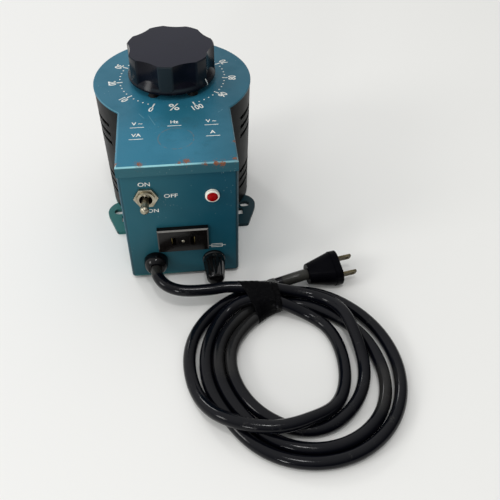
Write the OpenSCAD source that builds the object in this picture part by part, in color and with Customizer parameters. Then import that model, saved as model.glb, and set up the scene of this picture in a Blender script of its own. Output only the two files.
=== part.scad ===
// Variable autotransformer in a round cage with a wiring box in front. A toroidal winding hangs under the
// dial plate, a brush rides on its lower face, and the mains lead lies coiled in front of the box.
// Millimetres, +Z up. The origin is on the floor under the shaft, and the wiring box faces -Y.

/* [Case] */
// Height of the dial plate's upper face above the floor
case_h = 104; // [102:1:114]
// Radius of the round part of the dial plate
plate_r = 58.5; // [58:0.5:61]
// How far the dial plate stands out past the cage
plate_overhang = 0.4; // [0.2:0.1:0.8]
// How much larger the cage's radius is at the top than at its foot
cage_taper = 1.6; // [1.2:0.1:2]
// Radius of the edge of the round part of the dial plate
plate_edge_r = 0.6; // [0.3:0.1:0.8]
// Width of the wiring box
box_w = 79; // [77:1:84]
// Distance from the shaft axis to the front of the lip
box_reach = 106.5; // [105:0.5:112]
// Thickness of the sheet metal
sheet_t = 1.2; // [0.8:0.1:1.5]
// Slack between parts that stand beside each other in the case
side_gap = 0.3; // [0.2:0.1:0.5]
// Height of the lip that laps over the front panel
lip_h = 8; // [5:0.5:10]
// Height of the dial plate's turned-down edges along the box's sides
rim_h = 2; // [1.8:0.1:2.6]
// Outer radius of the bends in the dial plate
bend_r = 1.6; // [1.3:0.1:1.8]
// Outer radius of the upright bends of the front panel
panel_bend_r = 3; // [2:0.5:4]
// Thickness of the base plate
base_t = 3; // [2.5:0.5:4]
// Distance from the front panel back to the front edge of the base plate
base_setback = 6; // [4:1:10]
// Height of the upright tabs that the panel is screwed to
tab_h = 14; // [12:1:18]
// Length of each upright tab
tab_len = 22; // [18:1:26]
// Thickness of each upright tab
tab_t = 2; // [1.5:0.1:3]
// Distance from the front edge of the base plate back to the tabs
tab_inset = 12; // [6:1:16]
// Distance from a tab's edges to its screws
tab_edge = 5; // [4:0.5:6]
// Radius of the posts between base plate and dial plate
post_r = 2.6; // [2.2:0.1:2.7]
// Radius of the screws that hold the posts and the panel
case_screw_r = 1.5; // [1.2:0.1:1.6]
// Length of thread in the posts
thread_len = 10; // [6:1:16]

/* [Base ears] */
// Distance from the middle of the case to the middle of each mounting slot
ear_slot_x = 51.1; // [50.8:0.1:53]
// Distance of the mounting slots in front of the shaft axis
ear_slot_y = 32.3; // [30:0.1:35]
// Width of a mounting slot
ear_slot_w = 6.2; // [5:0.1:6.6]
// Length of a mounting slot from end to end
ear_slot_len = 8.2; // [7.4:0.1:8.6]
// Metal left round the outer end of a mounting slot
ear_edge = 4.8; // [4:0.1:6]
// Radius of an ear round its mounting slot
ear_r = 12.5; // [11:0.5:14]
// Slant of an ear's outer edge
ear_slant = 20; // [14:1:24]
// Distance from the mounting slot to the front end of an ear
ear_len = 24; // [20:1:28]
// Radius of an ear's front corner
ear_corner_r = 3; // [1:0.5:4]
// Width of the window in an ear
window_w = 6.4; // [4:0.2:6.8]
// Length of the window in an ear
window_len = 7.4; // [5:0.2:9]
// Metal left between mounting slot and window
window_gap = 1.8; // [1.4:0.2:3]
// Distance from the box's side to an ear's window
window_side = 3; // [2:0.2:4]

/* [Cage] */
// Thickness of the cage wall
cage_t = 1; // [0.8:0.1:1.1]
// Rows of slots near the top, and again near the bottom
slot_rows = 3; // [1:1:3]
// Columns of slots round the cage
slot_columns = 5; // [3:2:5]
// Height of a slot
slot_h = 3.4; // [2:0.2:4]
// Distance between rows of slots
slot_pitch = 8; // [6:0.5:9]
// Angle that a slot spans
slot_span = 40; // [20:2:44]
// Angle between columns of slots
slot_step = 52; // [48:1:54]
// Distance from each end of the cage to its nearest row of slots
slot_margin = 16.8; // [12:0.2:20]

/* [Dial and knob] */
// Angle from the middle of the front to the start of the scale
scale_start = 21.25; // [15:0.25:30]
// Reading of the dial as drawn, in hundredths of the scale
rest_reading = 90.5; // [20:0.5:95]
// Radius of the knob's skirt
knob_r = 32.3; // [29:0.1:33]
// Radius of the knob's ridges
knob_top_r = 31.8; // [30:0.1:32.2]
// Height of the knob
knob_h = 22; // [18:0.5:26]
// Height of the knob's plain skirt
skirt_h = 1.9; // [1.6:0.1:4]
// Gap between dial plate and knob
knob_gap = 4; // [3.5:0.5:6]
// Ridges round the knob
knob_ridges = 7; // [5:1:8]
// Angle from the reading mark to the nearest ridge
ridge_turn = -8.2; // [-12:0.1:12]
// Radius of the hollows between ridges
scallop_r = 31; // [26:1:36]
// Distance from the shaft axis to the deepest point of a hollow
scallop_floor_r = 28.7; // [27:0.1:29]
// Height of the sloping dish at the foot of a hollow
dish_h = 6; // [3:0.2:8]
// Thickness of the knob's top and wall
knob_wall = 3.5; // [2.5:0.5:5]
// Radius of the knob's boss
boss_r = 9; // [8:0.5:11]
// Radius of the knob's and the arm's set screws
set_screw_r = 1.6; // [1.2:0.1:2]

/* [Frame and shaft] */
// Radius of the shaft
shaft_r = 4.75; // [4:0.05:5.2]
// Running clearance of the shaft in its bushes
shaft_fit = 0.05; // [0.02:0.01:0.09]
// Wall of the shaft bushes
bush_wall = 2.2; // [1.5:0.1:2.6]
// Length of the shaft bushes
bush_len = 16; // [12:1:20]
// How far the upper bush stands out of the dial plate
bush_proud = 1; // [0.5:0.1:2]
// Radius of the frame's hub
hub_r = 10; // [9.5:0.5:11]
// Radius of the frame's flange
flange_r = 33; // [31:0.5:35]
// Thickness of the frame's flange
flange_t = 5; // [4:0.5:6]
// Depth of the frame's seat below its flange
seat_h = 4.8; // [4:0.2:6]
// Width of the frame's seat
seat_w = 8; // [6:0.5:10]
// Frame screws: distance from the middle, across and along the case
frame_screw_x = 14; // [12:0.5:16]
// Distance of the frame screws in front of and behind the shaft
frame_screw_y = 23; // [21:0.5:24]
// Radius of the frame screws
frame_screw_r = 2; // [1.6:0.1:2.4]
// Radius of the frame screws' heads
frame_head_r = 4; // [3.4:0.2:4.6]
// Height of the frame screws' heads
frame_head_h = 2.4; // [1.8:0.2:2.6]

/* [Transformer] */
// Gap between winding and posts
winding_gap = 2; // [1.5:0.1:4]
// Inner radius of the winding
winding_in_r = 20; // [18:0.5:23]
// Thickness of the winding's copper layer
winding_t = 3; // [2:0.2:4]
// Bundles of turns that stand for the winding
winding_loops = 60; // [24:1:64]
// Thickness of each bundle of turns at the winding's inside
loop_w = 1.5; // [1:0.1:1.6]
// Slack between core and winding
core_slack = 0.2; // [0.1:0.05:0.3]
// Thickness of the insulating washers
insulator_t = 3; // [2:0.5:3.5]
// Size of the clamp nut across its flats
clamp_af = 30; // [26:1:34]
// Thickness of the clamp nut
clamp_t = 6; // [4:0.5:7]
// Thickness of the stop washer
stop_t = 2; // [1.5:0.1:2.5]
// Radius of the stop washer
stop_r = 16; // [15:0.5:18]
// Width of the stop tab and of the arm's dog
stop_w = 4; // [3:0.2:4.2]
// Gap between hub and arm
arm_gap = 0.6; // [0.4:0.1:1]
// Gap between the stop tab and the arm that passes it
stop_clear = 1; // [0.6:0.1:1.5]

/* [Brush] */
// Distance from the winding's outer edge to the middle of the brush
brush_edge = 5.5; // [5:0.1:8]
// Width of the carbon brush across the winding
brush_w = 5; // [3.5:0.5:6]
// Length of the carbon brush along a radius
brush_len = 7; // [5:0.5:8]
// Height of the carbon brush
brush_h = 12; // [10:0.5:12]
// Clearance between brush and holder
brush_fit = 0.3; // [0.25:0.05:0.35]
// Clearance between brush and winding
brush_gap = 0.1; // [0.05:0.05:0.2]
// Wall of the brush holder
holder_wall = 1; // [0.8:0.1:1.3]
// How far the brush stands out of its holder
brush_proud = 4; // [3:0.5:5]
// Gap between base plate and arm
arm_clear = 5.4; // [3:0.2:8]
// Thickness of the arm's plate
arm_t = 3; // [2:0.5:3.5]
// Height of the arm's hub
arm_hub_h = 12; // [10:0.5:12.5]
// Radius of the arm's hub
arm_hub_r = 11; // [10:0.5:11.5]
// How far the arm's plate stands out past hub and holder
arm_flare = 3; // [2:0.5:4]
// Radius of the brush spring's coils
spring_r = 1.9; // [1.4:0.1:2.1]
// Radius of the brush spring's wire
spring_wire_r = 0.3; // [0.2:0.05:0.35]

/* [Switch and lamp] */
// Distance from the box's left side to the switch
switch_inset = 17.3; // [15:0.1:19]
// Distance of the switch below the top of the case
switch_drop = 26; // [24:0.5:28]
// Radius of the switch's threaded bushing
bushing_r = 5.95; // [5.5:0.05:6.4]
// How far the bushing stands out of the panel
bushing_proud = 3.4; // [2.8:0.1:4]
// Size of the bushing's nut across its flats
switch_nut_af = 14.3; // [14:0.1:17]
// Thickness of the bushing's nut
switch_nut_t = 2; // [1.6:0.1:2.6]
// Radius of the bushing's bore
bushing_bore_r = 4.4; // [4.2:0.1:4.6]
// Length of the lever from its pivot to its ball
lever_len = 12.2; // [10.5:0.1:15]
// Radius of the ball at the lever's end
lever_ball_r = 3; // [2.4:0.1:3.3]
// Radius of the lever's pivot ball
pivot_ball_r = 3.4; // [2.8:0.1:3.6]
// Radius of the lever's neck
lever_neck_r = 1.9; // [1.4:0.1:2.1]
// Radius of the pivot pin
pivot_pin_r = 0.8; // [0.6:0.05:1]
// Running clearance of the lever on its pin
pivot_fit = 0.05; // [0.02:0.01:0.09]
// Tilt of the lever from the middle to each side
lever_tilt = 13; // [10:0.5:14]
// Sideways lean of the lever
lever_lean = 5; // [0:0.5:6]
// Distance from the panel's face back to the pivot
pivot_depth = 2; // [1.8:0.1:2.4]
// Width of the switch body
switch_body_w = 18; // [16:0.5:20]
// Height of the switch body
switch_body_h = 28; // [24:0.5:30]
// Depth of the switch body
switch_body_d = 22; // [18:0.5:26]
// Distance from the box's right side to the lamp
lamp_inset = 17.8; // [15:0.1:20]
// Distance of the lamp below the top of the case
lamp_drop = 27.5; // [25:0.5:30]
// Radius of the lamp's bezel
bezel_r = 4.8; // [4.6:0.05:6]
// How far the bezel stands out of the panel
bezel_proud = 2.5; // [2:0.1:3.5]
// Radius of the lamp's lens
lens_r = 3.7; // [3.4:0.05:4]
// Radius of the lamp's barrel behind the panel
lamp_barrel_r = 4; // [3.6:0.1:4.4]
// Length of the lamp's barrel behind the panel
lamp_barrel_len = 16; // [12:1:22]

/* [Outlet] */
// Width of the outlet's face
outlet_w = 35.6; // [32:0.2:38]
// Height of the outlet's face
outlet_h = 20.6; // [18:0.2:22]
// Place of the outlet's middle, as a share of the way up from fuse holder to switch
outlet_rise = 0.375; // [0.3:0.005:0.45]
// How far the outlet's face stands out of the panel
outlet_proud = 4.4; // [2:0.1:5]
// Width of the bevel round the outlet's face
outlet_bevel = 0.9; // [0.5:0.1:1.6]
// Rim of the face that laps over the hole in the panel
outlet_rim = 1.8; // [1.2:0.1:2.4]
// Depth of the outlet behind the panel
outlet_d = 16; // [14:0.5:22]
// Spacing of the blades of plug and outlet
blade_spacing = 12.7; // [12:0.1:13.4]
// Width of a plug blade
blade_w = 6.35; // [5.8:0.05:6.8]
// Thickness of a plug blade
blade_t = 1.5; // [1.2:0.1:1.7]
// Length of a plug blade
blade_len = 12.4; // [11:0.1:17]
// Clearance round a blade in the outlet
blade_fit = 0.5; // [0.3:0.1:0.8]
// Thickness of the outlet's contacts
contact_t = 0.6; // [0.4:0.1:0.8]
// Thickness of the outlet's rear wall
outlet_floor = 2; // [1.5:0.1:3]
// Radius of the outlet's rivet
rivet_r = 0.8; // [0.6:0.1:1.4]

/* [Fuse holder] */
// Distance from the box's right side to the fuse holder
fuse_inset = 18.5; // [17.5:0.1:20]
// Height of the fuse holder's axis
fuse_z = 16.1; // [15.8:0.1:18]
// Radius of the fuse holder's flange
fuse_flange_r = 8.2; // [7.8:0.1:9]
// Thickness of the fuse holder's flange
fuse_flange_t = 2.2; // [1.6:0.1:2.8]
// Radius of the fuse holder's barrel
fuse_barrel_r = 6.3; // [5.8:0.1:6.6]
// Length of the barrel behind the panel
fuse_barrel_len = 33; // [32:0.5:35]
// Radius of the fuse
fuse_r = 3.15; // [2.9:0.05:3.3]
// Length of the fuse
fuse_len = 31.8; // [30:0.1:32.5]
// Length of the fuse's end caps
ferrule_len = 6; // [5:0.5:7]
// Thickness of the fuse's end caps
ferrule_t = 0.4; // [0.3:0.1:0.6]
// Clearance between the fuse and the cap's stem
fuse_slip = 0.1; // [0.05:0.05:0.2]
// Clearance between moving fuse parts and the holder
fuse_fit = 0.35; // [0.3:0.05:0.5]
// Wall of the cap's stem
cap_stem_wall = 0.9; // [0.7:0.1:1.1]
// Length of the cap's stem
cap_stem_len = 9; // [7:0.5:11]
// Length of the cap in front of the flange
cap_len = 19.8; // [16:0.2:20.4]
// Radius of the cap at its collar
cap_r = 7.8; // [7:0.1:8]
// Radius of the cap at its end
cap_end_r = 6.4; // [5.4:0.1:6.8]
// Height of the cap's plain collar
cap_collar_h = 2.4; // [1.5:0.1:4]
// Rounding of the cap's end
cap_round_r = 3; // [2:0.1:4]
// Flutes round the cap
cap_flutes = 10; // [8:1:12]
// Radius of the flutes
flute_r = 1.7; // [1:0.1:2]
// Size of the fuse holder's nut across its flats
fuse_nut_af = 17; // [15.5:0.5:19]
// Thickness of the fuse holder's nut
fuse_nut_t = 3; // [2:0.5:4]

/* [Mains lead] */
// Radius of the lead
cord_r = 4.2; // [3.6:0.1:4.6]
// Distance from the box's left side to the lead's gland
gland_inset = 18.7; // [17.5:0.1:20]
// Height of the gland's axis
gland_z = 17.6; // [16.8:0.1:18.8]
// Radius of the gland's dome
gland_r = 8.6; // [7.8:0.1:9]
// Length of the gland in front of the panel
gland_len = 9; // [7:0.5:10]
// Radius of the hole in the panel for the gland
gland_hole_r = 6.8; // [6.2:0.1:7.2]
// Thickness of the gland's inner flange
gland_back_t = 2.4; // [1.6:0.2:3]
// Middle radius of the coil
coil_r = 57.5; // [54:0.5:60]
// Width of the coil's bundle
coil_w = 33; // [28:0.5:36]
// Height of the coil's bundle
coil_h = 15.6; // [12:0.2:18]
// Distance from the coil's middle to its flattened side by the plug
coil_flat = 67.5; // [66:0.5:68]
// Radius of the bundle's upper edges
coil_edge_r = 6.5; // [4:0.5:7]
// Thickness of the tape round the bundle
tape_t = 0.6; // [0.3:0.1:1]
// Angle that the tape covers on the coil
tape_span = 22; // [12:1:24]
// Length of the plug's body
plug_len = 24; // [21:0.5:28]
// Width of the plug at its face
plug_w = 26; // [23:0.5:28]
// Thickness of the plug at its face
plug_t = 17; // [14:0.5:19]
// Width of the plug where the lead goes in
plug_neck_w = 15; // [12:0.5:18]
// Thickness of the plug where the lead goes in
plug_neck_t = 12.5; // [10:0.5:14]
// Thickness of the plug's face plate
plug_face_t = 5; // [4:0.5:7]
// Length of a blade inside the plug
blade_root = 4; // [3:0.5:5]
// Turn of the plug about its own axis
plug_roll = 20; // [0:1:35]

/* [Wiring board] */
// Length of the terminal board
board_w = 70; // [66:1:72]
// Depth of the terminal board
board_d = 12; // [10:0.5:13]
// Thickness of the terminal board
board_t = 3; // [2:0.5:4]
// Height of the posts under the terminal board
board_post_h = 3; // [2:0.2:3.2]
// Distance of the terminal board's middle in front of the shaft axis
board_y = 61; // [59.5:0.5:62]
// Radius of the posts under the terminal board
board_post_r = 3; // [2.4:0.1:3.4]
// Terminals on the board
terminals = 5; // [3:1:5]

/* [Hidden] */
$fn = 64;

// Small allowance by which a cutter passes through what it cuts
over = 1;

// Case
under_z = case_h - sheet_t;
cage_r = plate_r - plate_overhang;
foot_r = cage_r - cage_taper;
face_y = -(box_reach - sheet_t);
back_y = face_y + sheet_t;
box_half = box_w / 2;
box_in = box_half - sheet_t;
switch_x = box_half - switch_inset;
lamp_x = box_half - lamp_inset;
fuse_x = box_half - fuse_inset;
gland_x = box_half - gland_inset;
panel_top = case_h - rim_h;
base_front = face_y + base_setback;
tab_y = base_front + tab_inset;
tab_screw_z = base_t + tab_h - tab_edge;
tab_screw_ys = [tab_y + tab_edge, tab_y + tab_len - tab_edge];
case_head_r = 2 * case_screw_r;
case_head_h = 1.2 * case_screw_r;
slit_w = 0.5 * case_screw_r;
post_at_r = foot_r - cage_t - post_r - side_gap;
post_angles = [102, 180, 258];
ear_x = ear_slot_x + ear_slot_len / 2 + ear_edge - ear_r;
slot_zs = concat([for (i = [0:slot_rows - 1]) base_t + slot_margin + i * slot_pitch],
    [for (i = [0:slot_rows - 1]) under_z - slot_margin - i * slot_pitch]);

// Brush gear, stacked up from the base plate, and frame, stacked down from the dial plate
arm_z = base_t + arm_clear;
plate_top = arm_z + arm_t;
arm_top = arm_z + arm_hub_h;
hub_z = arm_top + arm_gap;
clamp_z = hub_z + stop_t;
winding_z = clamp_z + clamp_t + insulator_t;
frame_z = under_z - flange_t;
frame_hole_z = frame_z + flange_t / 5;
seat_z = frame_z - seat_h;
winding_top = seat_z - insulator_t;
winding_h = winding_top - winding_z;
winding_r = post_at_r - post_r - winding_gap;
bush_r = shaft_r + shaft_fit + bush_wall;
core_in_r = winding_in_r + winding_t + core_slack;
core_r = winding_r - winding_t - core_slack;
core_h = winding_h - 2 * (winding_t + core_slack);

// Rotor
scale_span = 360 - 2 * scale_start;
pointer_angle = -(scale_start + rest_reading / 100 * scale_span);
knob_z = case_h + knob_gap;
shaft_top = knob_z + knob_h - knob_wall;
brush_at_r = winding_r - brush_edge;
arm_end_r = brush_at_r + brush_len / 2 + brush_fit + holder_wall;
brush_z = winding_z - brush_gap - brush_h;
holder_top = winding_z - brush_gap - brush_proud;
dog_r = stop_r - arm_gap;
stop_in_r = arm_hub_r + stop_clear;
set_screw_z = (plate_top + arm_top) / 2;

// Switch and lamp
switch_z = case_h - switch_drop;
lamp_z = case_h - lamp_drop;
pivot_y = face_y + pivot_depth;
bushing_back = pivot_y + pivot_ball_r;
lens_seat = bezel_proud / 5;
lamp_bore_r = 0.8 * lamp_barrel_r;

// Outlet
outlet_z = fuse_z + outlet_rise * (switch_z - fuse_z);
outlet_in_w = outlet_w - 2 * outlet_rim;
outlet_in_h = outlet_h - 2 * outlet_rim;
pocket_w = blade_t + 2 * blade_fit + contact_t;
pocket_h = blade_w + 2 * blade_fit;
pocket_d = outlet_proud + sheet_t + outlet_d - outlet_floor;
pocket_x = blade_spacing / 2 - blade_t / 2 - blade_fit;
rivet_len = 2.5 * rivet_r;

// Fuse holder
cap_stem_r = fuse_r + fuse_slip + cap_stem_wall;
fuse_bore_r = cap_stem_r + fuse_fit;
cap_z = fuse_flange_t + fuse_fit;
fuse_front = sheet_t / 2;
fuse_floor = fuse_front - fuse_len - fuse_r / 2;

// Mains lead: route points from gland to coil, and from coil to plug
lead_points = [[-gland_x, back_y + gland_back_t, gland_z], [-gland_x, face_y, gland_z],
    [-gland_x, face_y - gland_len, gland_z], [-20.1, -119.6, 17.4], [-17.2, -125.9, 17],
    [-12.1, -130.9, 16.4], [-5.6, -133.8, 15.7], [1.5, -134.8, 15.1], [10, -134.9, 14.8],
    [19, -134.8, 15], [28, -134.5, 15.8]];
coil_at = [67.5, -196, 0];
tape_angle = 94;
coil_flat_angle = 70;
plug_turn = 11;
plug_flat = 0.5;
plug_edge_r = plug_t / 2 - plug_flat;
plug_z = (plug_w / 2 - plug_edge_r) * sin(plug_roll) + plug_flat * cos(plug_roll) + plug_edge_r;
plug_at = [87.7, -122.9, plug_z];
tail_points = [[64, -128.3, 12.6], [70, -126.2, 12.4], [74.5, -125.2, 12], [79, -124.3, 11.4],
    plug_at + plug_face_t / 2 * [cos(plug_turn), sin(plug_turn), 0]];

// Wiring board
board_z = base_t + board_post_h;
board_top = board_z + board_t;
board_post_x = board_w / 2 - 1.4 * board_post_r;
terminal_pitch = 0.35 * board_w / (terminals - 1);
terminal_z = board_z + board_t / 5;
board_nut_h = 1.5 * case_screw_r;

// Turns a part that is drawn towards the front to an angle seen from above
module facing(angle) {
    rotate([0, 0, angle]) children();
}

// Puts a part that is drawn along +Z on the panel, with +Z pointing out of it
module on_panel(x, z, y = face_y) {
    translate([x, y, z]) rotate([90, 0, 0]) children();
}

module hexagon(across_flats, height) {
    cylinder(r = across_flats / 2 / cos(30), h = height, $fn = 6);
}

module rounded_square(size, r) {
    translate([r, 0]) square([size[0] - 2 * r, size[1]]);
    translate([0, r]) square([size[0], size[1] - 2 * r]);
    for (x = [r, size[0] - r], y = [r, size[1] - r])
        translate([x, y]) circle(r);
}

function unit(v) = v / norm(v);

function heading(p, i) = unit(p[min(i + 1, len(p) - 1)] - p[max(i - 1, 0)]);

function ring(at, t, r, sides) =
    let (s = unit(cross(t, [0, 0, 1])), u = cross(s, t))
    [for (k = [0:sides - 1]) at + r * (cos(360 * k / sides) * s + sin(360 * k / sides) * u)];

// Tube along a list of points
module tube(points, r, sides) {
    last = len(points) - 1;
    corners = [for (i = [0:last]) each ring(points[i], heading(points, i), r, sides)];
    walls = [for (i = [0:last - 1], k = [0:sides - 1])
        let (a = i * sides + k, b = i * sides + (k + 1) % sides)
        each [[a, b, b + sides], [a, b + sides, a + sides]]];
    ends = [[for (k = [0:sides - 1]) sides - 1 - k], [for (k = [0:sides - 1]) last * sides + k]];
    polyhedron(corners, concat(walls, ends));
}

// Case

module keyhole(r, half, reach) {
    circle(r);
    translate([-half, -reach]) square([2 * half, reach]);
}

module ear_outline() {
    edge = [cos(ear_slant), -sin(ear_slant)];
    run = [-sin(ear_slant), -cos(ear_slant)];
    top = [ear_x, -ear_slot_y] + ear_r * edge;
    front = -(ear_slot_y + ear_len);
    corner = top + (front - top[1]) / run[1] * run;
    turn = corner + ear_corner_r * [-(1 - sin(ear_slant)) / cos(ear_slant), 1];
    translate([ear_x, -ear_slot_y]) circle(ear_r);
    translate(turn) circle(ear_corner_r);
    polygon([[box_in, -ear_slot_y], [ear_x, -ear_slot_y], top, turn + ear_corner_r * edge, turn,
        [turn[0], front], [box_in, front]]);
}

module ear_cuts() {
    straight = ear_slot_len - ear_slot_w;
    translate([ear_slot_x, -ear_slot_y]) {
        translate([-straight / 2, -ear_slot_w / 2]) square([straight, ear_slot_w]);
        for (side = [-1, 1])
            translate([side * straight / 2, 0]) circle(ear_slot_w / 2);
    }
    translate([box_half + window_side, -(ear_slot_y + ear_slot_w / 2 + window_gap + window_len)])
        square([window_w, window_len]);
}

module base_plate() {
    color([0.16, 0.32, 0.36]) difference() {
        union() {
            linear_extrude(base_t) difference() {
                union() {
                    keyhole(foot_r, box_half, -base_front);
                    for (side = [0, 1])
                        mirror([side, 0]) ear_outline();
                }
                for (side = [0, 1])
                    mirror([side, 0]) ear_cuts();
                for (x = [-board_post_x, board_post_x])
                    translate([x, -board_y]) circle(case_screw_r);
            }
            for (side = [0, 1])
                mirror([side, 0, 0]) translate([box_in - tab_t, tab_y, base_t]) cube([tab_t, tab_len, tab_h]);
        }
        for (angle = post_angles)
            facing(angle) translate([0, -post_at_r, 0]) base_screw_shape();
        for (side = [0, 1], y = tab_screw_ys)
            mirror([side, 0, 0]) panel_screw_shape(y, over);
    }
}

// Cone between two heights that lies outside the cage by a distance
module cage_cone(low, high, outside) {
    rise = cage_taper / (under_z - base_t);
    translate([0, 0, low]) cylinder(r1 = foot_r + rise * (low - base_t) + outside,
        r2 = foot_r + rise * (high - base_t) + outside, h = high - low);
}

module cage() {
    color([0.22, 0.24, 0.25]) difference() {
        cage_cone(base_t, under_z, 0);
        cage_cone(base_t - over, under_z + over, -cage_t);
        translate([side_gap - box_in, -2 * cage_r, base_t - over])
            cube([2 * (box_in - side_gap), 2 * cage_r, case_h]);
        for (z = slot_zs, i = [0:slot_columns - 1])
            facing(90 + (i - (slot_columns - 1) / 2) * slot_step - slot_span / 2)
                translate([0, 0, z - slot_h / 2]) rotate_extrude(angle = slot_span)
                    translate([foot_r - 2 * cage_t, 0]) square([cage_taper + 3 * cage_t, slot_h]);
    }
}

module plate_blank() {
    translate([0, 0, rim_h - sheet_t]) rotate_extrude() difference() {
        square([plate_r, sheet_t]);
        translate([plate_r - plate_edge_r, sheet_t - plate_edge_r]) difference() {
            square(2 * plate_edge_r);
            circle(plate_edge_r);
        }
    }
    translate([0, 0, rim_h - lip_h]) intersection() {
        rotate([90, 0, 0]) linear_extrude(box_reach) difference() {
            translate([-box_half, 0]) square([box_w, lip_h]);
            for (side = [0, 1])
                mirror([side, 0]) translate([box_half - bend_r, lip_h - bend_r]) difference() {
                    square(2 * bend_r);
                    circle(bend_r);
                }
        }
        rotate([90, 0, 90]) linear_extrude(2 * box_w, center = true) difference() {
            translate([-box_reach, 0]) square([box_reach, lip_h]);
            translate([bend_r - box_reach, lip_h - bend_r]) difference() {
                translate([-2 * bend_r, 0]) square(2 * bend_r);
                circle(bend_r);
            }
        }
    }
}

module dial_plate() {
    color([0.25, 0.44, 0.52]) difference() {
        translate([0, 0, panel_top]) plate_blank();
        translate([0, 0, case_h - lip_h - over]) linear_extrude(lip_h + over - sheet_t)
            keyhole(cage_r + side_gap, box_in, -face_y);
        translate([-box_w, face_y, case_h - lip_h - over]) cube([2 * box_w, -face_y, lip_h + over - rim_h]);
        translate([0, 0, under_z - over]) cylinder(r = bush_r, h = sheet_t + 2 * over);
        for (x = [-frame_screw_x, frame_screw_x], y = [-frame_screw_y, frame_screw_y])
            translate([x, y, under_z - over]) cylinder(r = frame_screw_r, h = sheet_t + 2 * over);
    }
}

module panel_outline(half, front, r) {
    translate([-half, front + r]) square([2 * half, -front]);
    translate([r - half, front]) square([2 * (half - r), -front]);
    for (x = [r - half, half - r])
        translate([x, front + r]) circle(r);
}

module front_panel() {
    color([0.16, 0.31, 0.36]) difference() {
        translate([0, 0, base_t]) linear_extrude(panel_top - base_t) difference() {
            panel_outline(box_half, face_y, panel_bend_r);
            panel_outline(box_in, back_y, panel_bend_r - sheet_t);
        }
        cage_cone(-over, case_h, side_gap);
        translate([-box_w, 0, 0]) cube([2 * box_w, box_reach, case_h]);
        on_panel(-switch_x, switch_z, back_y + over) cylinder(r = bushing_r, h = sheet_t + 2 * over);
        on_panel(lamp_x, lamp_z, back_y + over) cylinder(r = lamp_barrel_r, h = sheet_t + 2 * over);
        on_panel(0, outlet_z, back_y + over) translate([-outlet_in_w / 2, -outlet_in_h / 2, 0])
            cube([outlet_in_w, outlet_in_h, sheet_t + 2 * over]);
        on_panel(-gland_x, gland_z, back_y + over) cylinder(r = gland_hole_r, h = sheet_t + 2 * over);
        on_panel(fuse_x, fuse_z, back_y + over) cylinder(r = fuse_barrel_r, h = sheet_t + 2 * over);
        for (side = [0, 1], y = tab_screw_ys)
            mirror([side, 0, 0]) panel_screw_shape(y, over);
    }
}

module case_posts() {
    color([0.62, 0.62, 0.6]) for (angle = post_angles)
        facing(angle) translate([0, -post_at_r, base_t]) difference() {
            cylinder(r = post_r, h = under_z - base_t);
            translate([0, 0, -over]) cylinder(r = case_screw_r, h = thread_len + 2 * over);
        }
}

module base_screw_shape() {
    cylinder(r1 = case_head_r, r2 = case_screw_r, h = case_head_r - case_screw_r);
    cylinder(r = case_screw_r, h = base_t + thread_len);
}

module base_screws() {
    color([0.55, 0.55, 0.54]) for (angle = post_angles)
        facing(angle) translate([0, -post_at_r, 0]) base_screw_shape();
}

module panel_screw_shape(y, beyond = 0) {
    translate([box_in - 2 * tab_t, y, tab_screw_z]) rotate([0, 90, 0])
        cylinder(r = case_screw_r, h = 2 * tab_t + sheet_t + beyond);
}

// Pan head with a slit, standing on z = 0
module slit_head(r, height, slit) {
    difference() {
        cylinder(r1 = r, r2 = 0.75 * r, h = height);
        translate([-r, -slit / 2, 0.6 * height]) cube([2 * r, slit, height]);
    }
}

module panel_screws() {
    color([0.3, 0.3, 0.29]) for (side = [0, 1], y = tab_screw_ys)
        mirror([side, 0, 0]) {
            panel_screw_shape(y);
            translate([box_half, y, tab_screw_z]) rotate([0, 90, 0])
                slit_head(case_head_r, case_head_h, slit_w);
        }
}

// Frame and transformer

module frame_screws() {
    color([0.1, 0.09, 0.09]) for (x = [-frame_screw_x, frame_screw_x], y = [-frame_screw_y, frame_screw_y])
        translate([x, y, 0]) {
            translate([0, 0, frame_hole_z]) cylinder(r = frame_screw_r, h = case_h - frame_hole_z);
            translate([0, 0, case_h]) slit_head(frame_head_r, frame_head_h, frame_screw_r / 2);
        }
}

module bearing_frame() {
    color([0.6, 0.61, 0.62]) difference() {
        union() {
            translate([0, 0, frame_z]) cylinder(r = flange_r, h = flange_t);
            translate([0, 0, hub_z]) cylinder(r = hub_r, h = frame_z - hub_z);
            translate([0, 0, seat_z]) difference() {
                cylinder(r = flange_r, h = seat_h);
                translate([0, 0, -over]) cylinder(r = flange_r - seat_w, h = seat_h + over);
            }
        }
        translate([0, 0, hub_z - over]) cylinder(r = bush_r, h = case_h);
        for (x = [-frame_screw_x, frame_screw_x], y = [-frame_screw_y, frame_screw_y])
            translate([x, y, frame_hole_z]) cylinder(r = frame_screw_r, h = flange_t);
    }
}

module bush(z, length) {
    translate([0, 0, z]) difference() {
        cylinder(r = bush_r, h = length);
        translate([0, 0, -over]) cylinder(r = shaft_r + shaft_fit, h = length + 2 * over);
    }
}

module upper_bush() {
    color([0.62, 0.48, 0.26]) bush(case_h + bush_proud - bush_len, bush_len);
}

module lower_bush() {
    color([0.62, 0.48, 0.26]) bush(hub_z, bush_len);
}

module core() {
    color([0.33, 0.33, 0.35]) translate([0, 0, winding_z + winding_t + core_slack]) difference() {
        cylinder(r = core_r, h = core_h);
        translate([0, 0, -over]) cylinder(r = core_in_r, h = core_h + 2 * over);
    }
}

module winding() {
    color([0.6, 0.32, 0.16]) for (i = [0:winding_loops - 1])
        facing(-(scale_start + (i + 0.5) * scale_span / winding_loops))
            rotate([90, 0, -90]) linear_extrude(loop_w, center = true) difference() {
                translate([winding_in_r, winding_z])
                    rounded_square([winding_r - winding_in_r, winding_h], winding_t / 2);
                translate([core_in_r - core_slack, winding_z + winding_t])
                    square([core_r - core_in_r + 2 * core_slack, winding_h - 2 * winding_t]);
            }
}

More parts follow.
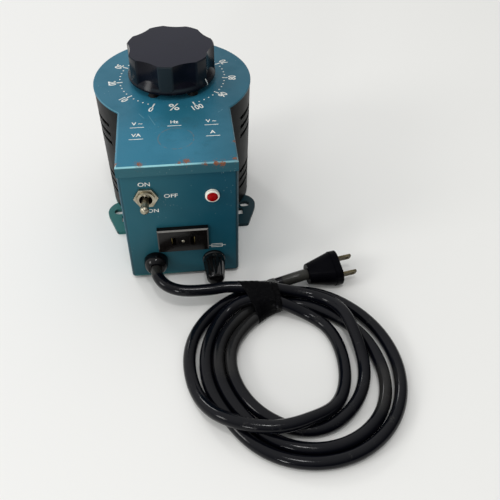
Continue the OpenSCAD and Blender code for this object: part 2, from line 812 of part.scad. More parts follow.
module washer(z, r, bore_r, t) {
    translate([0, 0, z]) difference() {
        cylinder(r = r, h = t);
        translate([0, 0, -over]) cylinder(r = bore_r, h = t + 2 * over);
    }
}

module upper_insulator() {
    color([0.35, 0.22, 0.13]) washer(winding_top, 1.06 * flange_r, hub_r, insulator_t);
}

module lower_insulator() {
    color([0.35, 0.22, 0.13]) washer(winding_z - insulator_t, flange_r, hub_r, insulator_t);
}

module clamp_nut() {
    color([0.68, 0.55, 0.3]) translate([0, 0, clamp_z]) difference() {
        hexagon(clamp_af, clamp_t);
        translate([0, 0, -over]) cylinder(r = hub_r, h = clamp_t + 2 * over);
    }
}

module stop_washer() {
    color([0.6, 0.6, 0.6]) {
        washer(hub_z, stop_r, hub_r, stop_t);
        translate([-stop_w / 2, -stop_r, plate_top + 2 * stop_clear])
            cube([stop_w, stop_r - stop_in_r, hub_z - plate_top - 2 * stop_clear + stop_t / 2]);
    }
}

// Rotor

module shaft() {
    color([0.66, 0.66, 0.65]) translate([0, 0, arm_z]) cylinder(r = shaft_r, h = shaft_top - arm_z);
}

// Turned foot of the knob, whose slope is the dish below each hollow
module knob_foot() {
    edge = skirt_h / 3;
    rotate_extrude() polygon([[0, 0], [knob_r - edge, 0], [knob_r, edge], [knob_r, skirt_h],
        [scallop_floor_r, skirt_h + dish_h], [0, skirt_h + dish_h]]);
}

module knob_ridged() {
    edge = knob_h / 28;
    difference() {
        rotate_extrude() polygon([[0, skirt_h / 2], [knob_top_r, skirt_h / 2], [knob_top_r, knob_h - edge],
            [knob_top_r - edge, knob_h], [0, knob_h]]);
        for (i = [0:knob_ridges - 1])
            facing((i + 0.5) * 360 / knob_ridges + ridge_turn)
                translate([0, -scallop_floor_r - scallop_r, 0]) cylinder(r = scallop_r, h = knob_h + over);
    }
}

module knob_screw_hole(length) {
    translate([0, 0, knob_z + knob_h / 3]) rotate([-90, 0, 0]) cylinder(r = set_screw_r, h = length);
}

module knob() {
    color([0.1, 0.12, 0.14]) facing(pointer_angle) difference() {
        translate([0, 0, knob_z]) difference() {
            union() {
                knob_foot();
                knob_ridged();
            }
            translate([0, 0, -over]) difference() {
                cylinder(r = scallop_floor_r - knob_wall, h = knob_h - 3 * knob_wall + over);
                cylinder(r = boss_r, h = knob_h);
            }
        }
        translate([0, 0, knob_z - over]) cylinder(r = shaft_r, h = shaft_top - knob_z + over);
        knob_screw_hole(knob_r);
    }
}

module knob_set_screw() {
    color([0.3, 0.3, 0.31]) facing(pointer_angle) difference() {
        knob_screw_hole(0.95 * boss_r);
        cylinder(r = shaft_r, h = 2 * case_h);
    }
}

module arm_outline() {
    half = brush_w / 2 + holder_wall + arm_flare;
    circle(arm_hub_r + arm_flare);
    translate([0, -brush_at_r]) circle(half);
    polygon([[-arm_hub_r, 0], [arm_hub_r, 0], [half, -brush_at_r], [-half, -brush_at_r]]);
}

module arm_screw_hole(length) {
    translate([0, 0, set_screw_z]) rotate([-90, 0, 0]) cylinder(r = set_screw_r, h = length);
}

module brush_arm() {
    color([0.56, 0.57, 0.58]) facing(pointer_angle) difference() {
        union() {
            translate([0, 0, arm_z]) linear_extrude(arm_t) intersection() {
                arm_outline();
                circle(arm_end_r);
            }
            translate([0, 0, arm_z]) cylinder(r = arm_hub_r, h = arm_hub_h);
            translate([-stop_w / 2, -dog_r, arm_z]) cube([stop_w, dog_r, arm_hub_h - arm_gap]);
        }
        translate([0, 0, arm_z - over]) cylinder(r = shaft_r, h = arm_hub_h + 2 * over);
        arm_screw_hole(2 * arm_hub_r);
    }
}

module arm_set_screw() {
    color([0.3, 0.3, 0.31]) facing(pointer_angle) difference() {
        arm_screw_hole(0.9 * arm_hub_r);
        cylinder(r = shaft_r, h = case_h);
    }
}

module brush_holder() {
    inner = [brush_w + 2 * brush_fit, brush_len + 2 * brush_fit];
    outer = inner + 2 * [holder_wall, holder_wall];
    color([0.7, 0.57, 0.28]) facing(pointer_angle) translate([0, -brush_at_r, plate_top])
        linear_extrude(holder_top - plate_top) difference() {
            square(outer, center = true);
            square(inner, center = true);
        }
}

module carbon_brush() {
    color([0.13, 0.13, 0.14]) facing(pointer_angle) translate([0, -brush_at_r, brush_z + brush_h / 2])
        cube([brush_w, brush_len, brush_h], center = true);
}

module brush_spring() {
    turns = 4;
    steps = 10 * turns;
    rise = brush_z - plate_top - 2 * spring_wire_r;
    color([0.6, 0.6, 0.58]) facing(pointer_angle) translate([0, -brush_at_r, plate_top + spring_wire_r])
        tube([for (i = [0:steps]) [spring_r * cos(36 * i), spring_r * sin(36 * i), rise * i / steps]],
            spring_wire_r, 6);
}

// Switch and lamp

module switch_body() {
    color([0.12, 0.1, 0.09]) difference() {
        translate([-switch_x - switch_body_w / 2, back_y, switch_z - switch_body_h / 2])
            cube([switch_body_w, switch_body_d, switch_body_h]);
        on_panel(-switch_x, switch_z, bushing_back) cylinder(r = bushing_r, h = 4 * bushing_proud);
        on_panel(-switch_x, switch_z, bushing_back + pivot_ball_r)
            cylinder(r = bushing_bore_r, h = 2 * pivot_ball_r);
    }
}

module switch_bushing() {
    color([0.63, 0.62, 0.58]) difference() {
        on_panel(-switch_x, switch_z, bushing_back)
            cylinder(r = bushing_r, h = bushing_back - face_y + bushing_proud);
        on_panel(-switch_x, switch_z, bushing_back + over)
            cylinder(r = bushing_bore_r, h = bushing_back - face_y + bushing_proud + 2 * over);
        switch_pin_shape(pivot_pin_r);
    }
}

module switch_nut() {
    color([0.6, 0.58, 0.52]) on_panel(-switch_x, switch_z) difference() {
        hexagon(switch_nut_af, switch_nut_t);
        translate([0, 0, -over]) cylinder(r = bushing_r, h = switch_nut_t + 2 * over);
    }
}

module switch_pin_shape(r) {
    translate([-switch_x - bushing_r, pivot_y, switch_z]) rotate([0, 90, 0])
        cylinder(r = r, h = 2 * bushing_r);
}

module switch_pin() {
    color([0.6, 0.6, 0.6]) intersection() {
        switch_pin_shape(pivot_pin_r);
        on_panel(-switch_x, switch_z, bushing_back) cylinder(r = bushing_r, h = 2 * bushing_r);
    }
}

module switch_lever() {
    color([0.75, 0.74, 0.7]) difference() {
        translate([-switch_x, pivot_y, switch_z]) rotate([90 + lever_tilt, 0, -lever_lean]) {
            sphere(pivot_ball_r);
            cylinder(r1 = lever_neck_r, r2 = 0.95 * lever_ball_r, h = lever_len);
            translate([0, 0, lever_len]) sphere(lever_ball_r);
        }
        switch_pin_shape(pivot_pin_r + pivot_fit);
    }
}

module lamp_bezel() {
    color([0.93, 0.92, 0.87]) on_panel(lamp_x, lamp_z) difference() {
        union() {
            translate([0, 0, -sheet_t - lamp_barrel_len])
                cylinder(r = lamp_barrel_r, h = lamp_barrel_len + sheet_t);
            cylinder(r = bezel_r, h = bezel_proud - lens_seat);
            translate([0, 0, bezel_proud - lens_seat])
                cylinder(r1 = bezel_r, r2 = bezel_r - lens_seat, h = lens_seat);
        }
        translate([0, 0, lens_seat]) cylinder(r = lens_r, h = bezel_proud);
        translate([0, 0, -sheet_t - lamp_barrel_len - over])
            cylinder(r = lamp_bore_r, h = lamp_barrel_len + sheet_t + bezel_proud);
    }
}

module lamp_lens() {
    color([0.6, 0.05, 0.07]) on_panel(lamp_x, lamp_z) intersection() {
        translate([0, 0, lens_seat]) cylinder(r = lens_r, h = 2 * bezel_proud);
        translate([0, 0, 1.5 * bezel_proud - 2 * lens_r]) sphere(2 * lens_r);
    }
}

module lamp_tube() {
    color([0.85, 0.8, 0.75]) on_panel(lamp_x, lamp_z) translate([0, 0, lens_seat - lamp_barrel_len])
        cylinder(r = 0.95 * lamp_bore_r, h = lamp_barrel_len);
}

// Outlet

module outlet_face() {
    z = outlet_proud - outlet_bevel;
    translate([-outlet_w / 2, -outlet_h / 2, 0]) cube([outlet_w, outlet_h, z]);
    translate([0, 0, z]) intersection() {
        rotate([90, 0, 0]) linear_extrude(outlet_h, center = true)
            polygon([[-outlet_w / 2, 0], [outlet_w / 2, 0], [outlet_w / 2 - outlet_bevel, outlet_bevel],
                [outlet_bevel - outlet_w / 2, outlet_bevel]]);
        rotate([90, 0, 90]) linear_extrude(outlet_w, center = true)
            polygon([[-outlet_h / 2, 0], [outlet_h / 2, 0], [outlet_h / 2 - outlet_bevel, outlet_bevel],
                [outlet_bevel - outlet_h / 2, outlet_bevel]]);
    }
}

module outlet_body() {
    color([0.07, 0.065, 0.06]) on_panel(0, outlet_z) difference() {
        union() {
            outlet_face();
            translate([-outlet_in_w / 2, -outlet_in_h / 2, -sheet_t - outlet_d])
                cube([outlet_in_w, outlet_in_h, sheet_t + outlet_d]);
        }
        for (side = [0, 1])
            mirror([side, 0, 0]) translate([pocket_x, -pocket_h / 2, outlet_proud - pocket_d])
                cube([pocket_w, pocket_h, pocket_d + over]);
        translate([0, 0, outlet_proud - rivet_len]) cylinder(r = rivet_r, h = rivet_len + over);
    }
}

module outlet_contacts() {
    height = 0.9 * pocket_h;
    color([0.75, 0.6, 0.3]) on_panel(0, outlet_z) for (side = [0, 1])
        mirror([side, 0, 0])
            translate([pocket_x + pocket_w - contact_t, -height / 2, outlet_proud - pocket_d])
                cube([contact_t, height, 0.9 * pocket_d]);
}

module outlet_rivet() {
    color([0.7, 0.68, 0.62]) on_panel(0, outlet_z) {
        translate([0, 0, outlet_proud - rivet_len]) cylinder(r = rivet_r, h = rivet_len);
        translate([0, 0, outlet_proud]) cylinder(r1 = 1.4 * rivet_r, r2 = 0.8 * rivet_r, h = 0.6 * rivet_r);
    }
}

// Fuse holder

module fuse_holder() {
    edge = fuse_flange_t / 4;
    color([0.1, 0.09, 0.08]) on_panel(fuse_x, fuse_z) difference() {
        union() {
            cylinder(r = fuse_flange_r, h = fuse_flange_t - edge);
            translate([0, 0, fuse_flange_t - edge])
                cylinder(r1 = fuse_flange_r, r2 = fuse_flange_r - edge, h = edge);
            translate([0, 0, -sheet_t - fuse_barrel_len])
                cylinder(r = fuse_barrel_r, h = sheet_t + fuse_barrel_len);
        }
        translate([0, 0, fuse_floor]) cylinder(r = fuse_bore_r, h = fuse_flange_t - fuse_floor + over);
    }
}

module fuse_nut() {
    color([0.62, 0.6, 0.55]) on_panel(fuse_x, fuse_z, back_y) translate([0, 0, -fuse_nut_t]) difference() {
        hexagon(fuse_nut_af, fuse_nut_t);
        translate([0, 0, -over]) cylinder(r = fuse_barrel_r, h = fuse_nut_t + 2 * over);
    }
}

module fuse_tube() {
    color([0.85, 0.9, 0.9]) on_panel(fuse_x, fuse_z) translate([0, 0, fuse_front - fuse_len + ferrule_t])
        cylinder(r = fuse_r - ferrule_t, h = fuse_len - 2 * ferrule_t);
}

module fuse_ends() {
    color([0.72, 0.71, 0.68]) on_panel(fuse_x, fuse_z) translate([0, 0, fuse_front - fuse_len / 2])
        for (side = [0, 1])
            mirror([0, 0, side]) translate([0, 0, fuse_len / 2 - ferrule_len]) difference() {
                cylinder(r = fuse_r, h = ferrule_len);
                translate([0, 0, -over]) cylinder(r = fuse_r - ferrule_t, h = ferrule_len - ferrule_t + over);
            }
}

module cap_outline() {
    shoulder = cap_len - cap_round_r;
    polygon([[0, 0], [cap_r, 0], [cap_r, cap_collar_h], [cap_end_r, shoulder], [0, shoulder]]);
    translate([0, shoulder]) intersection() {
        square([cap_end_r, cap_round_r]);
        union() {
            square([cap_end_r - cap_round_r, cap_round_r]);
            translate([cap_end_r - cap_round_r, 0]) circle(cap_round_r);
        }
    }
}

module fuse_cap() {
    lean = atan((cap_r - cap_end_r) / cap_len);
    stem_z = fuse_front - cap_stem_len;
    color([0.12, 0.1, 0.09]) on_panel(fuse_x, fuse_z) difference() {
        union() {
            translate([0, 0, cap_z]) difference() {
                rotate_extrude() cap_outline();
                for (i = [0:cap_flutes - 1])
                    rotate([0, 0, (i + 0.5) * 360 / cap_flutes])
                        translate([cap_r + flute_r / 3, 0, 1.4 * cap_collar_h])
                            rotate([0, -lean, 0]) cylinder(r = flute_r, h = cap_len);
            }
            translate([0, 0, stem_z]) cylinder(r = cap_stem_r, h = cap_z - stem_z + over);
        }
        translate([0, 0, stem_z - over]) cylinder(r = fuse_r + fuse_slip, h = cap_stem_len + over);
    }
}

// Wiring board

module board_posts() {
    color([0.65, 0.65, 0.63]) for (x = [-board_post_x, board_post_x])
        translate([x, -board_y, 0]) {
            cylinder(r = case_screw_r, h = board_top + 1.5 * board_nut_h);
            translate([0, 0, base_t]) cylinder(r = board_post_r, h = board_post_h);
        }
}

module terminal_board() {
    color([0.28, 0.16, 0.1]) difference() {
        translate([-board_w / 2, -board_y - board_d / 2, board_z]) cube([board_w, board_d, board_t]);
        for (x = [-board_post_x, board_post_x])
            translate([x, -board_y, board_z - over]) cylinder(r = case_screw_r, h = board_t + 2 * over);
        for (i = [0:terminals - 1])
            translate([(i - (terminals - 1) / 2) * terminal_pitch, -board_y, terminal_z])
                cylinder(r = case_screw_r, h = board_t);
    }
}

module board_nuts() {
    color([0.65, 0.63, 0.58]) for (x = [-board_post_x, board_post_x])
        translate([x, -board_y, board_top]) difference() {
            hexagon(3.6 * case_screw_r, board_nut_h);
            translate([0, 0, -over]) cylinder(r = case_screw_r, h = board_nut_h + 2 * over);
        }
}

module terminal_screws() {
    color([0.74, 0.6, 0.3]) for (i = [0:terminals - 1])
        translate([(i - (terminals - 1) / 2) * terminal_pitch, -board_y, 0]) {
            translate([0, 0, terminal_z]) cylinder(r = case_screw_r, h = board_top - terminal_z);
            translate([0, 0, board_top]) slit_head(0.9 * case_head_r, case_head_h, slit_w);
        }
}

// Mains lead

module cord_gland() {
    color([0.09, 0.09, 0.1]) on_panel(-gland_x, gland_z) rotate_extrude() difference() {
        union() {
            translate([0, -sheet_t - gland_back_t]) square([gland_r, gland_back_t]);
            translate([0, -sheet_t]) square([gland_hole_r, sheet_t]);
            intersection() {
                square([gland_r, gland_len]);
                union() {
                    square([gland_r, 0.3 * gland_r]);
                    translate([0, 0.3 * gland_r]) circle(gland_r);
                }
            }
        }
        translate([-over, -2 * gland_len]) square([cord_r + over, 4 * gland_len]);
    }
}

module cord_lead() {
    color([0.1, 0.11, 0.12]) tube(lead_points, cord_r, 12);
}

module bundle_outline(grow) {
    half = coil_w / 2 + grow;
    height = coil_h + grow;
    edge = coil_edge_r + grow;
    translate([coil_r - half, 0]) {
        square([2 * half, height - edge]);
        translate([edge, 0]) square([2 * (half - edge), height]);
        for (x = [edge, 2 * half - edge])
            translate([x, height - edge]) circle(edge);
    }
}

module cord_coil() {
    color([0.1, 0.11, 0.12]) translate(coil_at) difference() {
        rotate_extrude() bundle_outline(0);
        rotate([0, 0, coil_flat_angle]) translate([coil_flat, -coil_r, -over])
            cube([coil_r, 2 * coil_r, 2 * coil_h]);
    }
}

module cord_tail() {
    color([0.1, 0.11, 0.12]) tube(tail_points, cord_r, 12);
}

module tape_wrap() {
    color([0.07, 0.07, 0.08]) translate(coil_at) rotate([0, 0, tape_angle]) rotate_extrude(angle = tape_span)
        difference() {
            bundle_outline(tape_t);
            bundle_outline(0);
        }
}

module plug_frame() {
    translate(plug_at) rotate([0, 0, plug_turn]) rotate([plug_roll, 0, 0])
        rotate([0, 90, 0]) rotate([0, 0, 90]) children();
}

module plug_section(w, t, height) {
    r = t / 2 - plug_flat;
    linear_extrude(height) translate([-w / 2, -t / 2]) rounded_square([w, t], r, $fn = 32);
}

module plug_body() {
    color([0.08, 0.08, 0.09]) plug_frame() difference() {
        union() {
            hull() {
                plug_section(plug_neck_w, plug_neck_t, over);
                translate([0, 0, plug_len - plug_face_t - over])
                    plug_section(plug_w - 2 * plug_flat, plug_t - 2 * plug_flat, over);
            }
            translate([0, 0, plug_len - plug_face_t]) plug_section(plug_w, plug_t, plug_face_t);
        }
        for (x = [-blade_spacing / 2, blade_spacing / 2])
            translate([x - blade_t / 2, -blade_w / 2, plug_len - blade_root])
                cube([blade_t, blade_w, blade_root + over]);
    }
}

module plug_blades() {
    color([0.68, 0.62, 0.45]) plug_frame() for (x = [-blade_spacing / 2, blade_spacing / 2])
        translate([x, 0, plug_len]) difference() {
            translate([-blade_t / 2, -blade_w / 2, -blade_root])
                cube([blade_t, blade_w, blade_root + blade_len]);
            translate([0, 0, 0.75 * blade_len]) rotate([0, 90, 0])
                cylinder(r = blade_w / 4, h = 2 * blade_t, center = true);
            for (side = [-1, 1])
                translate([0, side * blade_w / 2, blade_len]) rotate([45, 0, 0])
                    cube([2 * blade_t, blade_t, blade_t], center = true);
        }
}

base_plate();
cage();
dial_plate();
front_panel();
case_posts();
base_screws();
panel_screws();
frame_screws();
bearing_frame();
upper_bush();
lower_bush();
core();
winding();
upper_insulator();
lower_insulator();
clamp_nut();
stop_washer();
shaft();
knob();
knob_set_screw();
brush_arm();
arm_set_screw();
brush_holder();
brush_spring();
carbon_brush();
switch_body();
switch_bushing();
switch_nut();
switch_pin();
switch_lever();
lamp_bezel();
lamp_lens();
lamp_tube();
outlet_body();
outlet_contacts();
outlet_rivet();
fuse_holder();
fuse_nut();
fuse_tube();
fuse_ends();
fuse_cap();
board_posts();
terminal_board();
board_nuts();
terminal_screws();
cord_gland();
cord_lead();
cord_coil();
cord_tail();
tape_wrap();
plug_body();
plug_blades();
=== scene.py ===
"""Variable autotransformer on a pale floor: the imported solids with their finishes, the lettering and the lead."""
import math

import bmesh
import bpy
import numpy as np
from mathutils import Matrix, Vector


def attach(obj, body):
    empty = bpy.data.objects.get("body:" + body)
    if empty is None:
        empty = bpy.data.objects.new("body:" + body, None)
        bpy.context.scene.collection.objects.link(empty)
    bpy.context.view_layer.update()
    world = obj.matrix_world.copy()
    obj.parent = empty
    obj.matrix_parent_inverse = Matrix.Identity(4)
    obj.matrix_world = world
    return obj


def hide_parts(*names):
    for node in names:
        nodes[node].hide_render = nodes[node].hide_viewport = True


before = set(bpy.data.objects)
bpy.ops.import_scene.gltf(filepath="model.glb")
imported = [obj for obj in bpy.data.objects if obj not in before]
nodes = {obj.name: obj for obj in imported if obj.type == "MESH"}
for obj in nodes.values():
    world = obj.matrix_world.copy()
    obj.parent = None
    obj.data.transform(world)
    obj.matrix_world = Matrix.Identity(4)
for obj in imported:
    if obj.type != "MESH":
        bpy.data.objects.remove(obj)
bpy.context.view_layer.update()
scene = bpy.context.scene
scene.view_settings.view_transform = "Standard"
MM = 0.001

# Faces that carry marks, in millimetres: height of the dial plate's top, and y of the front panel
PLATE_TOP = 104.0
PANEL_FACE = -105.3


# Camera, floor and light

# The photograph's view: place, lens and sensor in millimetres, and angles in degrees
CAMERA_AT = (6.87, -439.31, 358.34)
YAW, PITCH, ROLL = 6.963, 45.027, 0.879
LENS, SENSOR_WIDTH = 46.894, 36

# The floor: its size in metres, and its tone at the left and at the right, a little darker at the right as painted
# shade
FLOOR_SIZE = 12
FLOOR_LEFT, FLOOR_RIGHT = (237, 237, 235), (235, 235, 232)

# The sky: where it is brightest, the cosines from there between which it changes, and its least and greatest level
SKY_TOWARD = (-0.5, 0.45, 0.74)
SKY_SPAN = (-0.3, 0.9)
SKY_LEVELS = (0.1, 1.04)

# Lamps: name, place, target and size in metres, watts and colour
LAMPS = [("key", (-1.65, -0.6, 0.95), (0.02, -0.1, 0.03), 0.6, 8, (1.0, 0.99, 0.97)),
         ("window", (-0.82, -1.92, 0.62), (0, -0.1, 0.06), 0.3, 5.5, (1.0, 1.0, 1.0)),
         ("skylight", (-0.75, 1.35, 1.15), (0.03, -0.12, 0.03), 0.35, 4, (1.0, 1.0, 1.0)),
         ("ceiling", (0.03, -0.45, 1.5), (0.03, -0.15, 0), 0.19, 3.1, (1.0, 1.0, 1.0))]


def make_camera():
    yaw, pitch, roll = (math.radians(a) for a in (YAW, PITCH, ROLL))
    ahead = Vector((math.sin(yaw) * math.cos(pitch), math.cos(yaw) * math.cos(pitch), -math.sin(pitch)))
    right = Vector((math.cos(yaw), -math.sin(yaw), 0))
    up = right.cross(ahead)
    side = math.cos(roll) * right + math.sin(roll) * up
    top = math.cos(roll) * up - math.sin(roll) * right
    turn = Matrix((side, top, -ahead)).transposed().to_4x4()
    camera = bpy.data.objects.new("camera", bpy.data.cameras.new("camera"))
    camera.data.lens = LENS
    camera.data.sensor_width = SENSOR_WIDTH
    camera.matrix_world = Matrix.Translation(MM * Vector(CAMERA_AT)) @ turn
    scene.collection.objects.link(camera)
    scene.camera = camera


def srgb(*values):
    """Linear colour of an sRGB one that is given from 0 to 255."""
    steps = [v / 255 for v in values]
    return [v / 12.92 if v <= 0.04045 else ((v + 0.055) / 1.055) ** 2.4 for v in steps] + [1.0]


def area_light(name, place, target, size, watts, colour):
    lamp = bpy.data.lights.new(name, "AREA")
    lamp.shape, lamp.size, lamp.energy = "DISK", size, watts
    lamp.color = colour
    thing = bpy.data.objects.new(name, lamp)
    thing.location = place
    thing.rotation_euler = (Vector(target) - Vector(place)).to_track_quat("-Z", "Y").to_euler()
    scene.collection.objects.link(thing)


class Finish:
    """A procedural material. Its patterns lie in the shared frame, in metres; its colours are sRGB triples."""

    def __init__(self, name):
        self.material = bpy.data.materials.new(name)
        self.material.use_nodes = True
        self.tree = self.material.node_tree
        self.shader = self.tree.nodes["Principled BSDF"]
        self.place = self.add("ShaderNodeTexCoord").outputs["Object"]

    def add(self, kind, **settings):
        node = self.tree.nodes.new(kind)
        for key, value in settings.items():
            setattr(node, key, value)
        return node

    def feed(self, socket, value):
        if isinstance(value, bpy.types.NodeSocket):
            self.tree.links.new(value, socket)
        else:
            socket.default_value = value

    def set(self, **values):
        for key, value in values.items():
            self.feed(self.shader.inputs[key.replace("_", " ")], value)

    # Numbers and vectors

    def math(self, operation, a, b=0.0):
        node = self.add("ShaderNodeMath", operation=operation)
        self.feed(node.inputs[0], a)
        self.feed(node.inputs[1], b)
        return node.outputs[0]

    def both(self, a, b):
        return self.math("MULTIPLY", a, b)

    def least(self, values):
        lowest, *others = values
        for other in others:
            lowest = self.math("MINIMUM", lowest, other)
        return lowest

    def blend(self, share, a, b):
        node = self.add("ShaderNodeMix")
        self.feed(node.inputs[0], share)
        self.feed(node.inputs[2], a)
        self.feed(node.inputs[3], b)
        return node.outputs[0]

    def step(self, value, low, high):
        """0 below low, 1 above high, and smooth between them; low may be the greater."""
        node = self.add("ShaderNodeMapRange", interpolation_type="SMOOTHSTEP")
        flip = low > high
        self.feed(node.inputs["Value"], value)
        self.feed(node.inputs["From Min"], min(low, high))
        self.feed(node.inputs["From Max"], max(low, high))
        self.feed(node.inputs["To Min"], 1.0 if flip else 0.0)
        self.feed(node.inputs["To Max"], 0.0 if flip else 1.0)
        return node.outputs["Result"]

    def vector(self, operation, a, b):
        node = self.add("ShaderNodeVectorMath", operation=operation)
        self.feed(node.inputs[0], a)
        self.feed(node.inputs[1], b)
        return node.outputs["Vector" if operation in ("SUBTRACT", "MULTIPLY") else "Value"]

    def component(self, vector, index):
        node = self.add("ShaderNodeSeparateXYZ")
        self.feed(node.inputs[0], vector)
        return node.outputs[index]

    # Where a point lies, and which way its surface looks

    def axis(self, index):
        return self.component(self.place, index)

    def facing(self):
        return self.add("ShaderNodeNewGeometry").outputs["Normal"]

    def normal(self, index):
        return self.component(self.facing(), index)

    def radius(self):
        """Distance from the knob's axis."""
        return self.vector("DISTANCE", self.vector("MULTIPLY", self.place, (1, 1, 0)), (0, 0, 0))

    def near(self, spot):
        """Distance from a point."""
        return self.vector("DISTANCE", self.place, spot)

    def near_line(self, a, b):
        """Distance from a straight stretch."""
        run = (b - a).normalized()
        away = self.vector("SUBTRACT", self.place, a)
        reach = self.math("MAXIMUM", self.vector("DOT_PRODUCT", away, run), 0.0)
        along = self.add("ShaderNodeVectorMath", operation="SCALE")
        self.feed(along.inputs[0], run)
        self.feed(along.inputs["Scale"], self.math("MINIMUM", reach, (b - a).length))
        return self.vector("DISTANCE", away, along.outputs[0])

    def edges(self, radius):
        """1 where a sharp edge is nearer than radius, 0 on flat ground."""
        bevel = self.add("ShaderNodeBevel", samples=6)
        self.feed(bevel.inputs["Radius"], radius)
        return self.step(self.vector("DOT_PRODUCT", bevel.outputs["Normal"], self.facing()), 0.99, 0.8)

    # Patterns and colours

    def noise(self, scale, detail=4.0, rough=0.55, stretch=None):
        node = self.add("ShaderNodeTexNoise")
        self.feed(node.inputs["Vector"], self.vector("MULTIPLY", self.place, stretch) if stretch else self.place)
        for key, value in (("Scale", scale), ("Detail", detail), ("Roughness", rough)):
            self.feed(node.inputs[key], value)
        return node.outputs["Fac"]

    def cells(self, scale):
        """Distance from the middle of a cell, in cells."""
        node = self.add("ShaderNodeTexVoronoi")
        self.feed(node.inputs["Vector"], self.place)
        self.feed(node.inputs["Scale"], scale)
        return node.outputs["Distance"]

    def mix(self, share, a, b):
        node = self.add("ShaderNodeMix", data_type="RGBA")
        self.feed(node.inputs[0], share)
        for index, colour in ((6, a), (7, b)):
            self.feed(node.inputs[index], srgb(*colour) if isinstance(colour, tuple) else colour)
        return node.outputs[2]

    def patches(self, scale, dark, light):
        return self.mix(self.step(self.noise(scale, 6, 0.6), 0.32, 0.7), dark, light)

    def cover(self, tone, where, share, colour):
        """Lays a share of a colour over a tone."""
        return self.mix(self.both(where, share), tone, colour)

    def bump(self, height, strength, distance):
        node = self.add("ShaderNodeBump")
        self.feed(node.inputs["Height"], height)
        self.feed(node.inputs["Strength"], strength)
        self.feed(node.inputs["Distance"], distance)
        self.feed(self.shader.inputs["Normal"], node.outputs["Normal"])


def make_floor():
    bpy.ops.mesh.primitive_plane_add(size=FLOOR_SIZE)
    floor = bpy.context.object
    floor.name = "floor"
    f = Finish("floor")
    tone = f.mix(f.step(f.axis(0), -0.35, 0.45), FLOOR_LEFT, FLOOR_RIGHT)
    f.set(Base_Color=tone, Roughness=0.9, Specular_IOR_Level=0.0)
    floor.data.materials.append(f.material)


def make_sky():
    world = bpy.data.worlds.new("studio")
    world.use_nodes = True
    scene.world = world
    tree = world.node_tree
    sky = tree.nodes["Background"]
    toward = tree.nodes.new("ShaderNodeVectorMath")
    toward.operation = "DOT_PRODUCT"
    toward.inputs[1].default_value = Vector(SKY_TOWARD).normalized()
    share = tree.nodes.new("ShaderNodeMapRange")
    share.inputs["From Min"].default_value, share.inputs["From Max"].default_value = SKY_SPAN
    tint = tree.nodes.new("ShaderNodeMix")
    tint.data_type = "RGBA"
    for index, level in zip((6, 7), SKY_LEVELS):
        tint.inputs[index].default_value = (level, level, level, 1)
    tree.links.new(tree.nodes.new("ShaderNodeTexCoord").outputs["Generated"], toward.inputs[0])
    tree.links.new(toward.outputs["Value"], share.inputs["Value"])
    tree.links.new(share.outputs["Result"], tint.inputs[0])
    tree.links.new(tint.outputs[2], sky.inputs["Color"])
    sky.inputs["Strength"].default_value = 1.0


# The lead, in millimetres and degrees

CORD_R = 4.2
# Its route from the gland to the coil, and from the coil to the plug
LEAD = [(-20.8, -101.7, 17.6), (-20.8, -105.3, 17.6), (-20.8, -114.3, 17.6), (-20.1, -119.6, 17.4),
        (-17.2, -125.9, 17), (-12.1, -130.9, 16.4), (-5.6, -133.8, 15.7), (1.5, -134.8, 15.1), (10, -134.9, 14.8),
        (19, -134.8, 15), (28, -134.5, 15.8)]
TAIL = [(72, -125.2, 7), (76.5, -124.6, 8.4), (81.5, -124, 9.5), (87.7, -122.9, 10.18), (90.15, -122.42, 10.18)]
COIL_AT = (67.5, -196.0)
COIL_START = 110
# Loops of the coil: middle radius, drift, and first and second harmonics of the radius
LOOPS = [(57.07, 2.79, -10.61, 6.64, -0.27, -2.05), (65.92, -9.43, 0.43, -2.05, -2.07, -3.33),
         (55.94, -9.78, -1.69, -3.7, -1.79, -5.32), (42.47, 1.47, -6.13, 3.4, -4.77, -1.42)]
# Spacing of neighbouring loops, in radii of the cord
LOOP_SPACING = 2.05
# For each turn: the loops that it starts and ends on, its radius past the tape and before it, how far its left
# side lies inside its loop, and its height by azimuth
TURNS = [(0, 3, 58.5, 45, 0, [(110, 15.4), (100, 14.2), (88, 12.8), (-45, 12.6), (-95, 4.2)]),
         (2, 2, 52, 53.5, 0, [(110, 4.2)]),
         (1, 1, 60.5, 61.5, 5.5, [(110, 4.2), (-195, 4.2), (-240, 11.6), (-250, 12.6)]),
         (3, 0, 44, 69.5, 0, [(110, 12.6), (98, 12.6), (60, 4.2), (-40, 4.2), (-90, 12.6), (-150, 12.6), (-205, 4.2)])]
TURN_STEPS = 24
# Where in a turn, by azimuth with its sign changed: it takes up its own radius in the tape, leaves the tape, goes to
# its other loop, leans in, comes to the tape, and takes up the next turn's radius there
IN_FROM, LEAVE, CHANGE, LEAN, COME, OUT_TO = (-134, -76), (-76, -30), (30, 118), (120, 180), (190, 228), (226, 284)
# Where the lead comes to the tape: its radius; and where the end runs under the tape: azimuth, radius and height
LEAD_RADIUS = 67
UNDER_TAPE = [(110, 69.5, 4.2), (104, 69.5, 4.2), (97, 69.8, 4.6)]

# How the lead settles: rounds, those at the end without sinking, sinking in a round, pull towards the drawn place,
# smoothing passes in a round, points between strands that are held apart, gap between them, and rounds between looks
# for near strands
ROUNDS, LEVEL_ROUNDS = 320, 40
SINKING, HOME_PULL, SMOOTHINGS = 0.05, 0.004, 12
APART_POINTS, STRAND_GAP, LOOK_EVERY = 9, 0.05, 10
# Distance between points while it settles and in the picture, x up to which it stays as drawn, and points at the plug
# that stay
ROUTE_STEP, LINE_STEP = 3.5, 2.5
HELD_TO_X, HELD_AT_PLUG = 52, 4

